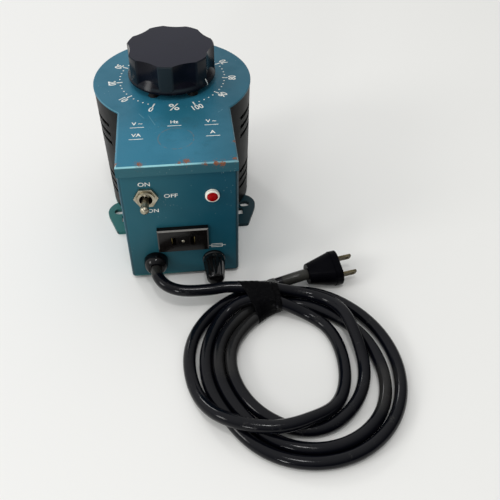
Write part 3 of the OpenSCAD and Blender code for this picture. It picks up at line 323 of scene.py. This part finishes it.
# The tape: azimuth of both ends, rings between them, its outer and inner face over the strands, height and pace of
# its waves, points round a strand and round the tape, and the least height
TAPE_ENDS, TAPE_RINGS = (116.5, 93.5), 24
TAPE_OUTER, TAPE_INNER = 0.55, 0.08
TAPE_WAVE, TAPE_PACE = 0.12, 1.9
STRAND_SIDES, TAPE_SIDES, TAPE_LOWEST = 24, 64, 0.1


def on_coil(azimuth, radius, height):
    a = math.radians(azimuth)
    return (COIL_AT[0] + radius * math.cos(a), COIL_AT[1] + radius * math.sin(a), height)


def ramp(value, low, high):
    share = min(max((value - low) / (high - low), 0), 1)
    return share * share * (3 - 2 * share)


def loop_radius(loop, azimuth, part):
    mean, drift, c1, s1, c2, s2 = LOOPS[loop]
    a = math.radians(azimuth)
    return (mean + drift * (part - 0.5) + c1 * math.cos(a) + s1 * math.sin(a)
            + c2 * math.cos(2 * a) + s2 * math.sin(2 * a))


def lane(loop, azimuth, part):
    """Radius of a loop that keeps clear of the loops outside it."""
    radius = loop_radius(loop, azimuth, part)
    for outer in (1, 2):
        if loop > outer:
            radius = min(radius, loop_radius(outer, azimuth, part) - LOOP_SPACING * CORD_R * (loop - outer))
    return radius


def coil_points():
    """The turns, each from the tape round to the tape again."""
    points = []
    for number, (first, last, out_of, into, inside, heights) in enumerate(TURNS):
        before = TURNS[number - 1][3] if number else LEAD_RADIUS
        after = TURNS[number + 1][2] if number < len(TURNS) - 1 else into
        for i in range(TURN_STEPS):
            part = i / TURN_STEPS
            azimuth = COIL_START - 360 * part
            share = ramp(-azimuth, *CHANGE)
            radius = (1 - share) * lane(first, azimuth, part) + share * lane(last, azimuth, part)
            radius -= inside * ramp(-azimuth, *LEAN)
            in_tape = before + (out_of - before) * ramp(-azimuth, *IN_FROM)
            radius += (1 - ramp(-azimuth, *LEAVE)) * (in_tape - radius)
            in_tape = into + (after - into) * ramp(-azimuth, *OUT_TO)
            radius += ramp(-azimuth, *COME) * (in_tape - radius)
            height = float(np.interp(-azimuth, [-a for a, _ in heights], [z for _, z in heights]))
            points.append(on_coil(azimuth, radius, height))
    return points


def lengths(points):
    """Length of a line up to each of its points."""
    return np.concatenate([[0], np.cumsum(np.linalg.norm(np.diff(points, axis=0), axis=1))])


def at_lengths(points, at):
    """Points of a line at given lengths along it."""
    along = lengths(points)
    return np.stack([np.interp(at, along, column) for column in points.T], axis=1)


def resampled(points, spacing, pieces=12):
    """Points a fixed distance apart on a smooth curve through the given ones."""
    p = np.array(points, float)
    padded = np.vstack([2 * p[0] - p[1], p, 2 * p[-1] - p[-2]])
    t = np.linspace(0, 1, pieces, endpoint=False)[:, None]
    fine = []
    for i in range(1, len(padded) - 2):
        a, b, c, d = padded[i - 1:i + 3]
        fine.append(0.5 * (2 * b + (c - a) * t + (2 * a - 5 * b + 4 * c - d) * t ** 2
                           + (3 * b - a - 3 * c + d) * t ** 3))
    fine = np.vstack(fine + [p[-1:]])
    total = lengths(fine)[-1]
    return at_lengths(fine, np.linspace(0, total, round(total / spacing) + 1))


def settled(points, held_start, held_end):
    """Lets a lead sink on to the floor and on to itself, without passing through either."""
    home = points.copy()
    p = points.copy()
    end = len(p) - held_end
    i, j = np.triu_indices(len(p), APART_POINTS)
    for turn in range(ROUNDS):
        p[:, 2] -= SINKING if turn < ROUNDS - LEVEL_ROUNDS else 0
        p[:, :2] += HOME_PULL * (home - p)[:, :2]
        # Each point goes half way to the cubic through its four neighbours
        for _ in range(SMOOTHINGS):
            smooth = (4 * (p[1:-3] + p[3:-1]) - p[:-4] - p[4:]) / 6
            p[2:-2] += 0.5 * (smooth - p[2:-2])
        if turn % LOOK_EVERY == 0:
            close = np.linalg.norm(p[i] - p[j], axis=1) < 4 * CORD_R
            a, b = i[close], j[close]
        apart = p[a] - p[b]
        gap = np.linalg.norm(apart, axis=1)
        short = np.maximum(2 * CORD_R + STRAND_GAP - gap, 0)
        push = 0.25 * (short / np.maximum(gap, 1e-6))[:, None] * apart
        np.add.at(p, a, push)
        np.add.at(p, b, -push)
        p[:, 2] = np.maximum(p[:, 2], CORD_R)
        p[:held_start] = home[:held_start]
        p[end:] = home[end:]
    return p


def make_cord():
    route = resampled(LEAD + coil_points() + [on_coil(*c) for c in UNDER_TAPE] + TAIL, ROUTE_STEP)
    held_start = int(np.argmax(route[:, 0] >= HELD_TO_X))
    line = resampled(settled(route, held_start, HELD_AT_PLUG), LINE_STEP)
    curve = bpy.data.curves.new("mains_lead", "CURVE")
    curve.dimensions = "3D"
    curve.bevel_depth = CORD_R * MM
    curve.bevel_resolution = 5
    curve.use_fill_caps = True
    spline = curve.splines.new("POLY")
    spline.points.add(len(line) - 1)
    for point, place in zip(spline.points, line):
        point.co = (*(place * MM), 1)
    spline.use_smooth = True
    cord = bpy.data.objects.new("mains_lead", curve)
    scene.collection.objects.link(cord)
    return cord, line


def hull(points):
    """Convex outline of points in a plane, anticlockwise."""
    points = sorted(map(tuple, points))

    def half(run):
        chain = []
        for q in run:
            while len(chain) > 1 and ((chain[-1][0] - chain[-2][0]) * (q[1] - chain[-2][1])
                                      - (chain[-1][1] - chain[-2][1]) * (q[0] - chain[-2][0])) <= 0:
                chain.pop()
            chain.append(q)
        return chain[:-1]

    return np.array(half(points) + half(points[::-1]))


def outline_at(line, azimuth, grow):
    """Where a wrap lies round the strands at an azimuth: radius and height, evenly spaced from its foot."""
    a = math.radians(azimuth)
    across = np.array([math.cos(a), math.sin(a)])
    ahead = np.array([-math.sin(a), math.cos(a)])
    flat = line[:, :2] - np.array(COIL_AT)
    side, out = flat @ ahead, flat @ across
    cut = np.nonzero((side[:-1] * side[1:] <= 0) & (out[:-1] > 0))[0]
    cloud = []
    for k in cut:
        share = side[k] / (side[k] - side[k + 1] + 1e-9)
        r = out[k] + share * (out[k + 1] - out[k])
        z = line[k, 2] + share * (line[k + 1, 2] - line[k, 2])
        for s in np.linspace(0, 2 * math.pi, STRAND_SIDES, endpoint=False):
            cloud.append((r + (CORD_R + grow) * math.cos(s), max(z + (CORD_R + grow) * math.sin(s), TAPE_LOWEST)))
    ring = hull(cloud)
    # Its foot is the outermost of its lowest points
    foot = int(np.argmin(ring[:, 1] - 0.01 * ring[:, 0]))
    ring = np.roll(ring, -foot, axis=0)
    closed = np.vstack([ring, ring[:1]])
    return at_lengths(closed, np.linspace(0, lengths(closed)[-1], TAPE_SIDES, endpoint=False))


def mesh_object(name, points, faces, smooth=True):
    data = bpy.data.meshes.new(name)
    data.from_pydata([tuple(p) for p in points], [], faces)
    data.validate()
    bm = bmesh.new()
    bm.from_mesh(data)
    bmesh.ops.recalc_face_normals(bm, faces=bm.faces)
    bm.to_mesh(data)
    bm.free()
    if smooth:
        data.shade_smooth()
    thing = bpy.data.objects.new(name, data)
    scene.collection.objects.link(thing)
    return thing


def make_tape(line):
    """Tape wound round the strands: rings from one end to the other, waved between its ends, and an inner face."""
    azimuths = np.linspace(*TAPE_ENDS, TAPE_RINGS)
    rings = []
    for k, azimuth in enumerate(azimuths):
        inside = 1 < k < TAPE_RINGS - 2
        wave = TAPE_WAVE * math.sin(TAPE_PACE * k) if inside else 0
        rings.append([on_coil(azimuth, r, z) for r, z in outline_at(line, azimuth, TAPE_OUTER + wave)])
    for azimuth in azimuths[::-1]:
        rings.append([on_coil(azimuth, r, z) for r, z in outline_at(line, azimuth, TAPE_INNER)])
    points = [np.array(p) * MM for ring in rings for p in ring]
    faces = []
    for k in range(len(rings)):
        this, following = k * TAPE_SIDES, (k + 1) % len(rings) * TAPE_SIDES
        for m in range(TAPE_SIDES):
            n = (m + 1) % TAPE_SIDES
            faces.append((this + m, this + n, following + n, following + m))
    return mesh_object("tape", points, faces)


# Finishes. Places and sizes in the lists are in millimetres

# On the dial plate: scratches, by x and y of both ends; a dark smear; and the middle and radius of a ring
SCRATCHES = [(-18.1, -48.4, -13.4, -61), (-24.5, -46.4, -21, -52), (30.6, -49.4, 33.8, -46.2)]
SMEAR_AT = (6, -50, PLATE_TOP)
RING_AT, RING_R = (0.3, -77.8, PLATE_TOP), 11.9

# Rust on the teal sheets: x, y, z and radius
RUST_SPOTS = [(-23.8, -103.8, 104, 2.2), (5.9, -103.2, 104, 2.4), (1.5, -104.6, 104, 1.4), (18, -106.4, 103, 1.5),
              (25, -106.5, 103.2, 2.2), (29, -106.5, 102.9, 2.0), (37.3, -103.4, 104, 1.9),
              (-39.6, -102.8, 103.4, 1.9), (38.8, -84.5, 103.6, 1.4), (-39.2, -88, 102.6, 0.9)]

# Dusty stretches of the lead: both ends, the reach of full dust and of any, and how much
DUSTY_STRETCHES = [((73, -125, 7.3), (92, -122.2, 10.2), 5, 6.5, 0.75),
                   ((-20.8, -113.5, 17.6), (-20.3, -118, 17.5), 4.3, 6, 0.5),
                   ((41, -156, 4.2), (24, -192, 4.2), 4, 16, 0.3),
                   ((124, -212, 4.2), (114, -230, 4.2), 3, 13, 0.35)]

# Layers of the core, in radians for each metre of radius; and how far from an edge a finish is rubbed, in millimetres
LAYER_PACE = 9000.0
RUBBED = 0.5


def shaded(f, tone):
    """Painted light and shade on the enamel, darker towards the panel's foot, and a dark smear on the dial plate."""
    x, y, z = (f.axis(k) for k in range(3))
    front = f.step(f.normal(1), -0.7, -0.92)
    # Painted shade on the dial plate's far left and right, and painted light on the box's left
    tone = f.cover(tone, f.step(x, -0.015, -0.05), 0.5, (30, 92, 112))
    box_left = f.both(f.step(x, 0.012, -0.03), f.step(y, -0.045, -0.08))
    tone = f.cover(tone, box_left, 0.6, (40, 118, 145))
    tone = f.cover(tone, f.step(x, 0.0, 0.045), 0.65, (31, 85, 102))
    # Front faces painted in shade, darker still to the right, darker towards the foot, and the lip less dark
    tone = f.cover(tone, front, 0.8, (38, 90, 100))
    tone = f.cover(tone, f.both(front, f.step(x, -0.03, 0.036)), 0.8, (2, 66, 86))
    foot = f.mix(f.step(x, -0.02, 0.0), (18, 62, 68), (28, 84, 96))
    tone = f.cover(tone, f.step(z, 0.055, 0.004), 0.65, foot)
    tone = f.cover(tone, f.both(front, f.step(z, 0.0955, 0.0965)), 0.4, (62, 106, 114))
    tone = f.cover(tone, f.step(f.near(MM * Vector(SMEAR_AT)), 0.024, 0.008), 0.45, (30, 86, 100))
    # Painted light on the left ear and painted shade on the right ear
    ear_light_and_shade = f.mix(f.step(x, -0.02, 0.02), (46, 108, 103), (5, 18, 20))
    tone = f.cover(tone, f.step(z, 0.0045, 0.0032), 0.75, ear_light_and_shade)
    # Painted shade on the panel's rounded side bends
    fold_shade = f.both(f.step(f.normal(1), -0.2, -0.45), f.step(f.math("ABSOLUTE", f.normal(0)), 0.2, 0.45))
    return f.cover(tone, f.both(fold_shade, f.step(z, 0.0985, 0.0975)), 0.7, (8, 42, 50))


def bright_bends(f):
    """Painted highlight along the dial plate's bends: in front, most at its left, and a little elsewhere."""
    slant = f.both(f.step(f.normal(2), 0.3, 0.6), f.step(f.normal(2), 0.98, 0.9))
    bend = f.both(slant, f.step(f.axis(2), 0.099, 0.1005))
    shoulder = f.both(f.step(f.axis(0), -0.01, -0.034), f.step(f.normal(1), -0.2, -0.5))
    elsewhere = f.blend(shoulder, 0.04, 0.4)
    in_front = f.blend(f.step(f.axis(0), 0.0, 0.02), 1.0, 0.5)
    lit = f.blend(f.step(f.axis(1), -0.1005, -0.103), elsewhere, in_front)
    return f.both(f.both(bend, lit), f.blend(f.noise(150, 4), 0.6, 1.0))


def scratched(f):
    """1 on the dial plate's scratches."""
    line = f.least(f.near_line(MM * Vector((x1, y1, PLATE_TOP)), MM * Vector((x2, y2, PLATE_TOP)))
                   for x1, y1, x2, y2 in SCRATCHES)
    return f.both(f.step(line, 0.00045, 0.00015), f.step(f.noise(300, 3), 0.36, 0.5))


def ringed(f):
    """1 on the worn ring that something round has left on the dial plate."""
    away = f.math("ABSOLUTE", f.math("SUBTRACT", f.near(MM * Vector(RING_AT)), MM * RING_R))
    return f.both(f.step(away, 0.0007, 0.0002), f.step(f.noise(330, 3), 0.42, 0.56))


def rusted(f):
    """1 where rust has broken through, less on the specks around it."""
    spots = f.least(f.math("DIVIDE", f.near(MM * Vector(place)), r * MM) for *place, r in RUST_SPOTS)
    ragged = f.math("ADD", spots, f.both(f.math("SUBTRACT", f.noise(700, 5, 0.7), 0.5), 2.6))
    chip = f.both(f.step(ragged, 1.05, 0.6), f.blend(f.step(f.noise(1300, 4), 0.4, 0.55), 0.5, 1.0))
    around = f.both(f.step(spots, 2.6, 0.8), f.step(f.noise(900, 4, 0.7), 0.55, 0.64))
    return f.math("MAXIMUM", chip, f.both(around, 0.8))


def enamel():
    """Teal enamel: mottled and dusty, with painted light and shade, a painted highlight along the bends, scratched,
    with rust where it has chipped.
    """
    f = Finish("teal_enamel")
    grime = f.noise(90, 8, 0.65)
    flecks = f.both(f.step(f.cells(420), 0.16, 0.08), f.step(f.noise(60, 2), 0.58, 0.7))
    rusty = rusted(f)
    tone = f.patches(28, (34, 104, 128), (48, 116, 141))
    tone = f.cover(tone, f.step(grime, 0.54, 0.75), 0.35, (44, 82, 92))
    tone = shaded(f, tone)
    tone = f.cover(tone, flecks, 0.5, (150, 176, 176))
    # Painted highlight along the bends
    tone = f.mix(bright_bends(f), tone, (168, 228, 234))
    tone = f.cover(tone, scratched(f), 0.35, (110, 156, 168))
    tone = f.cover(tone, ringed(f), 0.45, (104, 100, 96))
    tone = f.mix(rusty, tone, f.mix(f.noise(1500, 4), (92, 54, 36), (164, 100, 64)))
    gloss = f.blend(f.step(grime, 0.4, 0.7), 0.34, 0.5)
    f.set(Base_Color=tone, Roughness=f.blend(rusty, gloss, 0.85), Specular_IOR_Level=0.17)
    f.bump(f.math("SUBTRACT", f.both(f.noise(1800, 3), 0.15), rusty), 0.25, 0.0002)
    return f.material


def mottled(name, dark, light, scale, rough, metallic=0.0, grain=0.1, depth=0.0001, wear=None, shine=0.5):
    """Two tones in patches, roughness between two values, a fine grain, and a lighter tone on worn edges."""
    f = Finish(name)
    tone = f.patches(scale, dark, light)
    if wear:
        rub = f.both(f.edges(RUBBED * MM), f.step(f.noise(6 * scale, 4), 0.4, 0.62))
        tone = f.cover(tone, rub, 0.7, wear)
    dullness = f.blend(f.noise(2.5 * scale, 5), *rough)
    f.set(Base_Color=tone, Metallic=metallic, Roughness=dullness, Specular_IOR_Level=shine)
    f.bump(f.noise(14 * scale, 3), grain, depth)
    return f.material


def knob_plastic():
    """Black moulding, glossy on its sides, faded on top with a painted sheen there, and a painted highlight down its
    front ridge.
    """
    f = Finish("knob_black")
    tone = f.patches(45, (9, 10, 18), (15, 16, 27))
    top = f.step(f.normal(2), 0.8, 0.98)
    # Painted highlight down the front ridge, fainter on the other ridges
    ridge = f.both(f.step(f.radius(), 0.0306, 0.0315), f.step(f.axis(2), 0.1095, 0.1115))
    tone = f.cover(tone, ridge, f.blend(f.step(f.axis(1), -0.026, -0.031), 0.3, 0.85), (40, 49, 54))
    # Lighter, bluer top: fading and a painted sheen
    tone = f.cover(tone, top, f.blend(f.noise(60, 4), 0.6, 1.0), (26, 27, 41))
    dullness = f.blend(top, f.blend(f.noise(110, 5), 0.12, 0.2), 0.3)
    f.set(Base_Color=tone, Roughness=dullness, Specular_IOR_Level=f.blend(top, 0.12, 0.1))
    f.bump(f.noise(630, 3), 0.04, 0.0001)
    return f.material


def outlet_plastic():
    """Dark brown moulding, with a painted highlight along the bevel over its face."""
    f = Finish("outlet_brown")
    tone = f.patches(80, (9, 8, 8), (18, 15, 14))
    # Painted highlight on the bevel that faces up and forward
    bevel = f.both(f.step(f.normal(2), 0.5, 0.65), f.step(f.normal(1), -0.5, -0.65))
    tone = f.cover(tone, bevel, f.blend(f.noise(420, 4), 0.7, 1.0), (136, 134, 130))
    f.set(Base_Color=tone, Roughness=f.blend(f.noise(200, 5), 0.1, 0.2), Specular_IOR_Level=0.3)
    f.bump(f.noise(1120, 3), 0.05, 0.0001)
    return f.material


def rubber_cord():
    """Black rubber, glossy where it is rubbed and grey where it is scuffed or dusty."""
    f = Finish("cord_rubber")
    scuff = f.step(f.noise(75, 8, 0.7), 0.56, 0.7)
    fine = f.noise(900, 6, 0.7)
    tone = f.mix(f.noise(40, 4), (4, 5, 10), (8, 9, 16))
    tone = f.cover(tone, scuff, f.step(fine, 0.46, 0.7), (52, 51, 49))
    for start, end, full, none, share in DUSTY_STRETCHES:
        line = f.near_line(MM * Vector(start), MM * Vector(end))
        dust = f.both(f.step(line, none * MM, full * MM), f.blend(f.noise(500, 5), 0.4, 1.0))
        tone = f.cover(tone, dust, share, (66, 65, 60))
    f.set(Base_Color=tone, Roughness=f.blend(scuff, 0.1, 0.42), Specular_IOR_Level=0.19)
    f.bump(f.math("ADD", f.noise(160, 4), f.both(fine, 0.3)), 0.18, 0.0006)
    return f.material


def tape_finish():
    """Black vinyl tape with wrinkles across its width."""
    f = Finish("tape_black")
    tone = f.mix(f.noise(260, 5), (2, 2, 3), (8, 8, 10))
    f.set(Base_Color=tone, Roughness=f.blend(f.noise(500, 3), 0.1, 0.22), Specular_IOR_Level=0.03)
    f.bump(f.noise(150, 5, 0.6, stretch=(0.5, 3.0, 3.0)), 0.7, 0.0014)
    return f.material


def lens():
    """Red plastic lens, a little darker in patches."""
    f = Finish("red_lens")
    tone = f.mix(f.step(f.noise(260, 3), 0.35, 0.65), (136, 2, 4), (164, 6, 8))
    f.set(Base_Color=tone, Roughness=f.blend(f.noise(400), 0.18, 0.3), Specular_IOR_Level=0.08)
    f.bump(f.noise(700, 2), 0.06, 0.0002)
    return f.material


def glass():
    """Clear glass with a faint haze."""
    f = Finish("clear_glass")
    tone = f.mix(f.noise(300, 3), (226, 234, 232), (240, 246, 244))
    f.set(Base_Color=tone, Roughness=f.blend(f.noise(600), 0.04, 0.12), Transmission_Weight=0.9)
    return f.material


def laminations():
    """Edges of a strip of steel wound into a ring."""
    f = Finish("core_steel")
    layers = f.math("SINE", f.both(f.radius(), LAYER_PACE))
    tone = f.mix(f.step(layers, -0.8, 0.8), (74, 74, 78), (112, 112, 116))
    f.set(Base_Color=tone, Metallic=0.8, Roughness=f.blend(f.noise(200), 0.4, 0.6))
    f.bump(layers, 0.3, 0.0002)
    return f.material


# Finishes in two tones: both, the scale of the patches, least and greatest roughness, and what else they have
MOTTLED = {
    "charcoal_paint": ((12, 13, 14), (22, 24, 24), 60, (0.34, 0.5), dict(wear=(104, 110, 108), shine=0.07)),
    "black_phenolic": ((8, 8, 9), (17, 16, 16), 80, (0.06, 0.15), dict(grain=0.05, shine=0.55)),
    "gland_rubber": ((4, 4, 6), (9, 9, 11), 90, (0.1, 0.2), dict(shine=0.22)),
    "plug_rubber": ((2, 2, 5), (6, 6, 10), 70, (0.16, 0.28), dict(shine=0.03)),
    "nickel": ((138, 130, 108), (196, 190, 172), 150, (0.22, 0.42), dict(metallic=1.0, wear=(226, 222, 208))),
    "steel": ((128, 128, 126), (172, 172, 169), 120, (0.25, 0.45), dict(metallic=1.0)),
    "rusty_steel": ((44, 32, 26), (92, 72, 60), 260, (0.45, 0.75), dict(metallic=0.6, grain=0.4)),
    "black_steel": ((12, 11, 11), (30, 26, 24), 260, (0.4, 0.6), dict(metallic=0.3, grain=0.3, shine=0.2)),
    "cast_aluminium": ((140, 142, 144), (176, 177, 178), 200, (0.45, 0.62),
                       dict(metallic=0.9, grain=0.3, depth=0.0003)),
    "bronze": ((120, 88, 46), (166, 126, 70), 120, (0.3, 0.48), dict(metallic=1.0)),
    "brass": ((134, 118, 74), (186, 168, 112), 170, (0.25, 0.45), dict(metallic=1.0)),
    "dull_brass": ((70, 64, 48), (112, 102, 76), 220, (0.4, 0.6), dict(metallic=0.9)),
    "copper": ((140, 72, 40), (186, 108, 66), 140, (0.28, 0.45), dict(metallic=0.9)),
    "board_brown": ((72, 42, 26), (104, 64, 40), 160, (0.4, 0.6), {}),
    "carbon": ((24, 24, 26), (44, 44, 46), 300, (0.5, 0.75), dict(grain=0.3)),
    "white_plastic": ((240, 236, 222), (252, 250, 238), 200, (0.25, 0.4), {}),
    "white_ink": ((206, 208, 202), (246, 246, 240), 300, (0.5, 0.7), {}),
}

FINISHES = {name: mottled(name, *look, **more) for name, (*look, more) in MOTTLED.items()}
FINISHES.update(teal_enamel=enamel(), knob_black=knob_plastic(), outlet_brown=outlet_plastic(),
                cord_rubber=rubber_cord(), tape_black=tape_finish(), red_lens=lens(), clear_glass=glass(),
                core_steel=laminations())

# Which solids have which finish
DRESSED = {
    "teal_enamel": ["base_plate", "dial_plate", "front_panel"],
    "charcoal_paint": ["cage"],
    "knob_black": ["knob"],
    "black_phenolic": ["fuse_holder", "fuse_cap", "switch_body"],
    "outlet_brown": ["outlet_body"],
    "gland_rubber": ["cord_gland"],
    "plug_rubber": ["plug_body"],
    "nickel": ["switch_bushing", "switch_nut", "switch_pin", "switch_lever", "fuse_nut", "fuse_ends", "outlet_rivet",
               "board_nuts", "board_posts"],
    "steel": ["shaft", "case_posts", "base_screws", "stop_washer", "knob_set_screw", "arm_set_screw", "brush_spring"],
    "rusty_steel": ["panel_screws"],
    "black_steel": ["frame_screws"],
    "cast_aluminium": ["bearing_frame", "brush_arm"],
    "bronze": ["upper_bush", "lower_bush"],
    "brass": ["clamp_nut", "brush_holder", "outlet_contacts", "terminal_screws"],
    "dull_brass": ["plug_blades"],
    "copper": ["winding"],
    "core_steel": ["core"],
    "board_brown": ["terminal_board", "upper_insulator", "lower_insulator"],
    "carbon": ["carbon_brush"],
    "white_plastic": ["lamp_bezel", "lamp_tube"],
    "red_lens": ["lamp_lens"],
    "clear_glass": ["fuse_tube"],
}
# Least angle between two faces that keep a sharp edge, in degrees
SHARP_ANGLE = 32


def paint(thing, name):
    thing.data.materials.clear()
    thing.data.materials.append(FINISHES[name])


def dress_solids():
    for finish, members in DRESSED.items():
        for member in members:
            solid = nodes[member]
            paint(solid, finish)
            solid.data.shade_smooth()
            solid.data.set_sharp_from_angle(angle=math.radians(SHARP_ANGLE))
            even = solid.modifiers.new("even", "WEIGHTED_NORMAL")
            even.keep_sharp = True


# Lettering, in millimetres and degrees: plain numbers on the dial, switch words, unit signs and the sign of a fuse

INK_T = 0.06
# Height of a capital as a share of the font's size
CAPITAL = 0.7

# The dial: angle of 0, angle of one unit, and the size and radius of its dots, ticks and numbers
SCALE_START, SCALE_STEP = 21.25, 3.175
DOT_R, DOTS_AT = 0.58, 39
TICK, TICKS_AT = (0.95, 4.2), 39.2
NUMBER_H, NUMBERS_AT = 5.4, 44.6
PERCENT_H, PERCENT_AT = 8, (0.1, -40)

# Unit signs on the dial plate, each over a blank line: x and y; their height; and the line's size and drop
UNIT_SIGNS = [("V ~", -25.6, -58.5), ("VA", -26.1, -72), ("Hz", -0.4, -58.5), ("V ~", 24.9, -59.5), ("A", 25.1, -72.5)]
UNIT_H = 3.4
BLANK, BLANK_DROP = (9.5, 0.55), 4.6

# Words by the switch: height, x, z and width as a share of the font's own
SWITCH_WORDS = [("ON", 3.2, -22.4, 88.6, 1.15), ("OFF", 3.0, -5.8, 77.8, 1.25), ("ON", 3.0, -18.4, 65.6, 1.15)]
# Bars of the sign of a fuse: width, height, x and z
FUSE_SIGN = [(7.5, 0.45, 23.7, 30.4), (7.5, 0.45, 23.7, 27.6), (0.45, 3.2, 19.95, 29), (0.45, 3.2, 27.45, 29),
             (12.5, 0.45, 23.7, 29)]

# White line on the knob: angle from the front, width, and its corners by angle past that, radius and height
READ_AT, READING_W = 51.4, 0.8
READING_LINE = [(-3.4, 31.9, 114), (0, 32.34, 109.8), (0, 32.34, 108.7)]


class Marks:
    """Thin raised ink, gathered into one mesh."""

    def __init__(self):
        self.points, self.faces = [], []

    def add(self, points, faces, place):
        first = len(self.points)
        self.points += [place @ Vector(p) for p in points]
        self.faces += [tuple(first + i for i in face) for face in faces]

    def bar(self, width, length, place):
        w, h = width / 2, length / 2
        corners = [(x, y, z) for z in (-INK_T / 2, INK_T / 2) for x, y in ((-w, -h), (w, -h), (w, h), (-w, h))]
        self.add(corners, [(3, 2, 1, 0), (4, 5, 6, 7), (0, 1, 5, 4), (1, 2, 6, 5), (2, 3, 7, 6), (3, 0, 4, 7)], place)

    def line(self, width, start, end, out):
        """A bar between two points, on a face that looks out."""
        along = end - start
        ahead = along.normalized()
        side = ahead.cross(out).normalized()
        turn = Matrix((side, ahead, side.cross(ahead))).transposed().to_4x4()
        self.bar(width, along.length, Matrix.Translation((start + end) / 2) @ turn)

    def dot(self, radius, place, sides=14):
        angles = [math.tau * k / sides for k in range(sides)]
        ring = [(radius * math.cos(a), radius * math.sin(a)) for a in angles]
        points = [(x, y, z) for z in (-INK_T / 2, INK_T / 2) for x, y in ring]
        faces = [tuple(range(sides))[::-1], tuple(range(sides, 2 * sides))]
        faces += [(k, (k + 1) % sides, sides + (k + 1) % sides, sides + k) for k in range(sides)]
        self.add(points, faces, place)

    def words(self, text, height, place, squeeze=1.0, bold=0.0):
        curve = bpy.data.curves.new("words", "FONT")
        curve.body = text
        curve.size = height / CAPITAL
        curve.align_x, curve.align_y = "CENTER", "CENTER"
        curve.extrude = INK_T / 2
        curve.offset = bold
        curve.resolution_u = 4
        thing = bpy.data.objects.new("words", curve)
        scene.collection.objects.link(thing)
        bpy.context.view_layer.update()
        data = bpy.data.meshes.new_from_object(thing.evaluated_get(bpy.context.evaluated_depsgraph_get()))
        middle = (max(v.co.y for v in data.vertices) + min(v.co.y for v in data.vertices)) / 2
        self.add([(squeeze * v.co.x, v.co.y - middle, v.co.z) for v in data.vertices],
                 [tuple(p.vertices) for p in data.polygons], place)
        bpy.data.objects.remove(thing)
        bpy.data.curves.remove(curve)
        bpy.data.meshes.remove(data)

    def make(self, name, body):
        thing = mesh_object(name, [MM * p for p in self.points], self.faces, smooth=False)
        paint(thing, "white_ink")
        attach(thing, body)


def on_plate(x, y, turn=0.0):
    return Matrix.Translation((x, y, PLATE_TOP)) @ Matrix.Rotation(math.radians(turn), 4, "Z")


def on_dial(reading, radius):
    angle = SCALE_START + SCALE_STEP * reading
    a = math.radians(angle)
    return on_plate(-radius * math.sin(a), -radius * math.cos(a), -angle)


def on_face(x, z):
    return Matrix.Translation((x, PANEL_FACE, z)) @ Matrix.Rotation(math.pi / 2, 4, "X")


def on_knob(angle, radius, height):
    a = math.radians(angle)
    return Vector((radius * math.sin(a), -radius * math.cos(a), height))


def make_dial_marks():
    marks = Marks()
    for reading in range(0, 101, 2):
        if reading % 10:
            marks.dot(DOT_R, on_dial(reading, DOTS_AT))
        else:
            marks.bar(*TICK, on_dial(reading, TICKS_AT))
            marks.words(str(reading), NUMBER_H, on_dial(reading, NUMBERS_AT), squeeze=0.78, bold=0.16)
    marks.words("%", PERCENT_H, on_plate(*PERCENT_AT), bold=0.1)
    for text, x, y in UNIT_SIGNS:
        marks.words(text, UNIT_H, on_plate(x, y), bold=0.1)
        marks.bar(*BLANK, on_plate(x, y - BLANK_DROP))
    marks.make("dial_marks", "case")


def make_panel_marks():
    marks = Marks()
    for text, height, x, z, squeeze in SWITCH_WORDS:
        marks.words(text, height, on_face(x, z), squeeze=squeeze, bold=0.04)
    for width, height, x, z in FUSE_SIGN:
        marks.bar(width, height, on_face(x, z))
    marks.make("panel_marks", "case")


def make_reading_mark():
    """A white line down a ridge of the knob and its rim, at the place that is read."""
    marks = Marks()
    out = on_knob(READ_AT, 1, 0)
    corners = [on_knob(READ_AT + past, radius, height) for past, radius, height in READING_LINE]
    for start, end in zip(corners, corners[1:]):
        marks.line(READING_W, start, end, out)
    marks.make("reading_mark", "rotor")


make_camera()
make_floor()
make_sky()
for lamp in LAMPS:
    area_light(*lamp)
dress_solids()
make_dial_marks()
make_panel_marks()
make_reading_mark()
cord, cord_line = make_cord()
paint(cord, "cord_rubber")
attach(cord, "case")
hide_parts("cord_lead", "cord_coil", "cord_tail")
tape = make_tape(cord_line)
paint(tape, "tape_black")
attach(tape, "case")
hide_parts("tape_wrap")
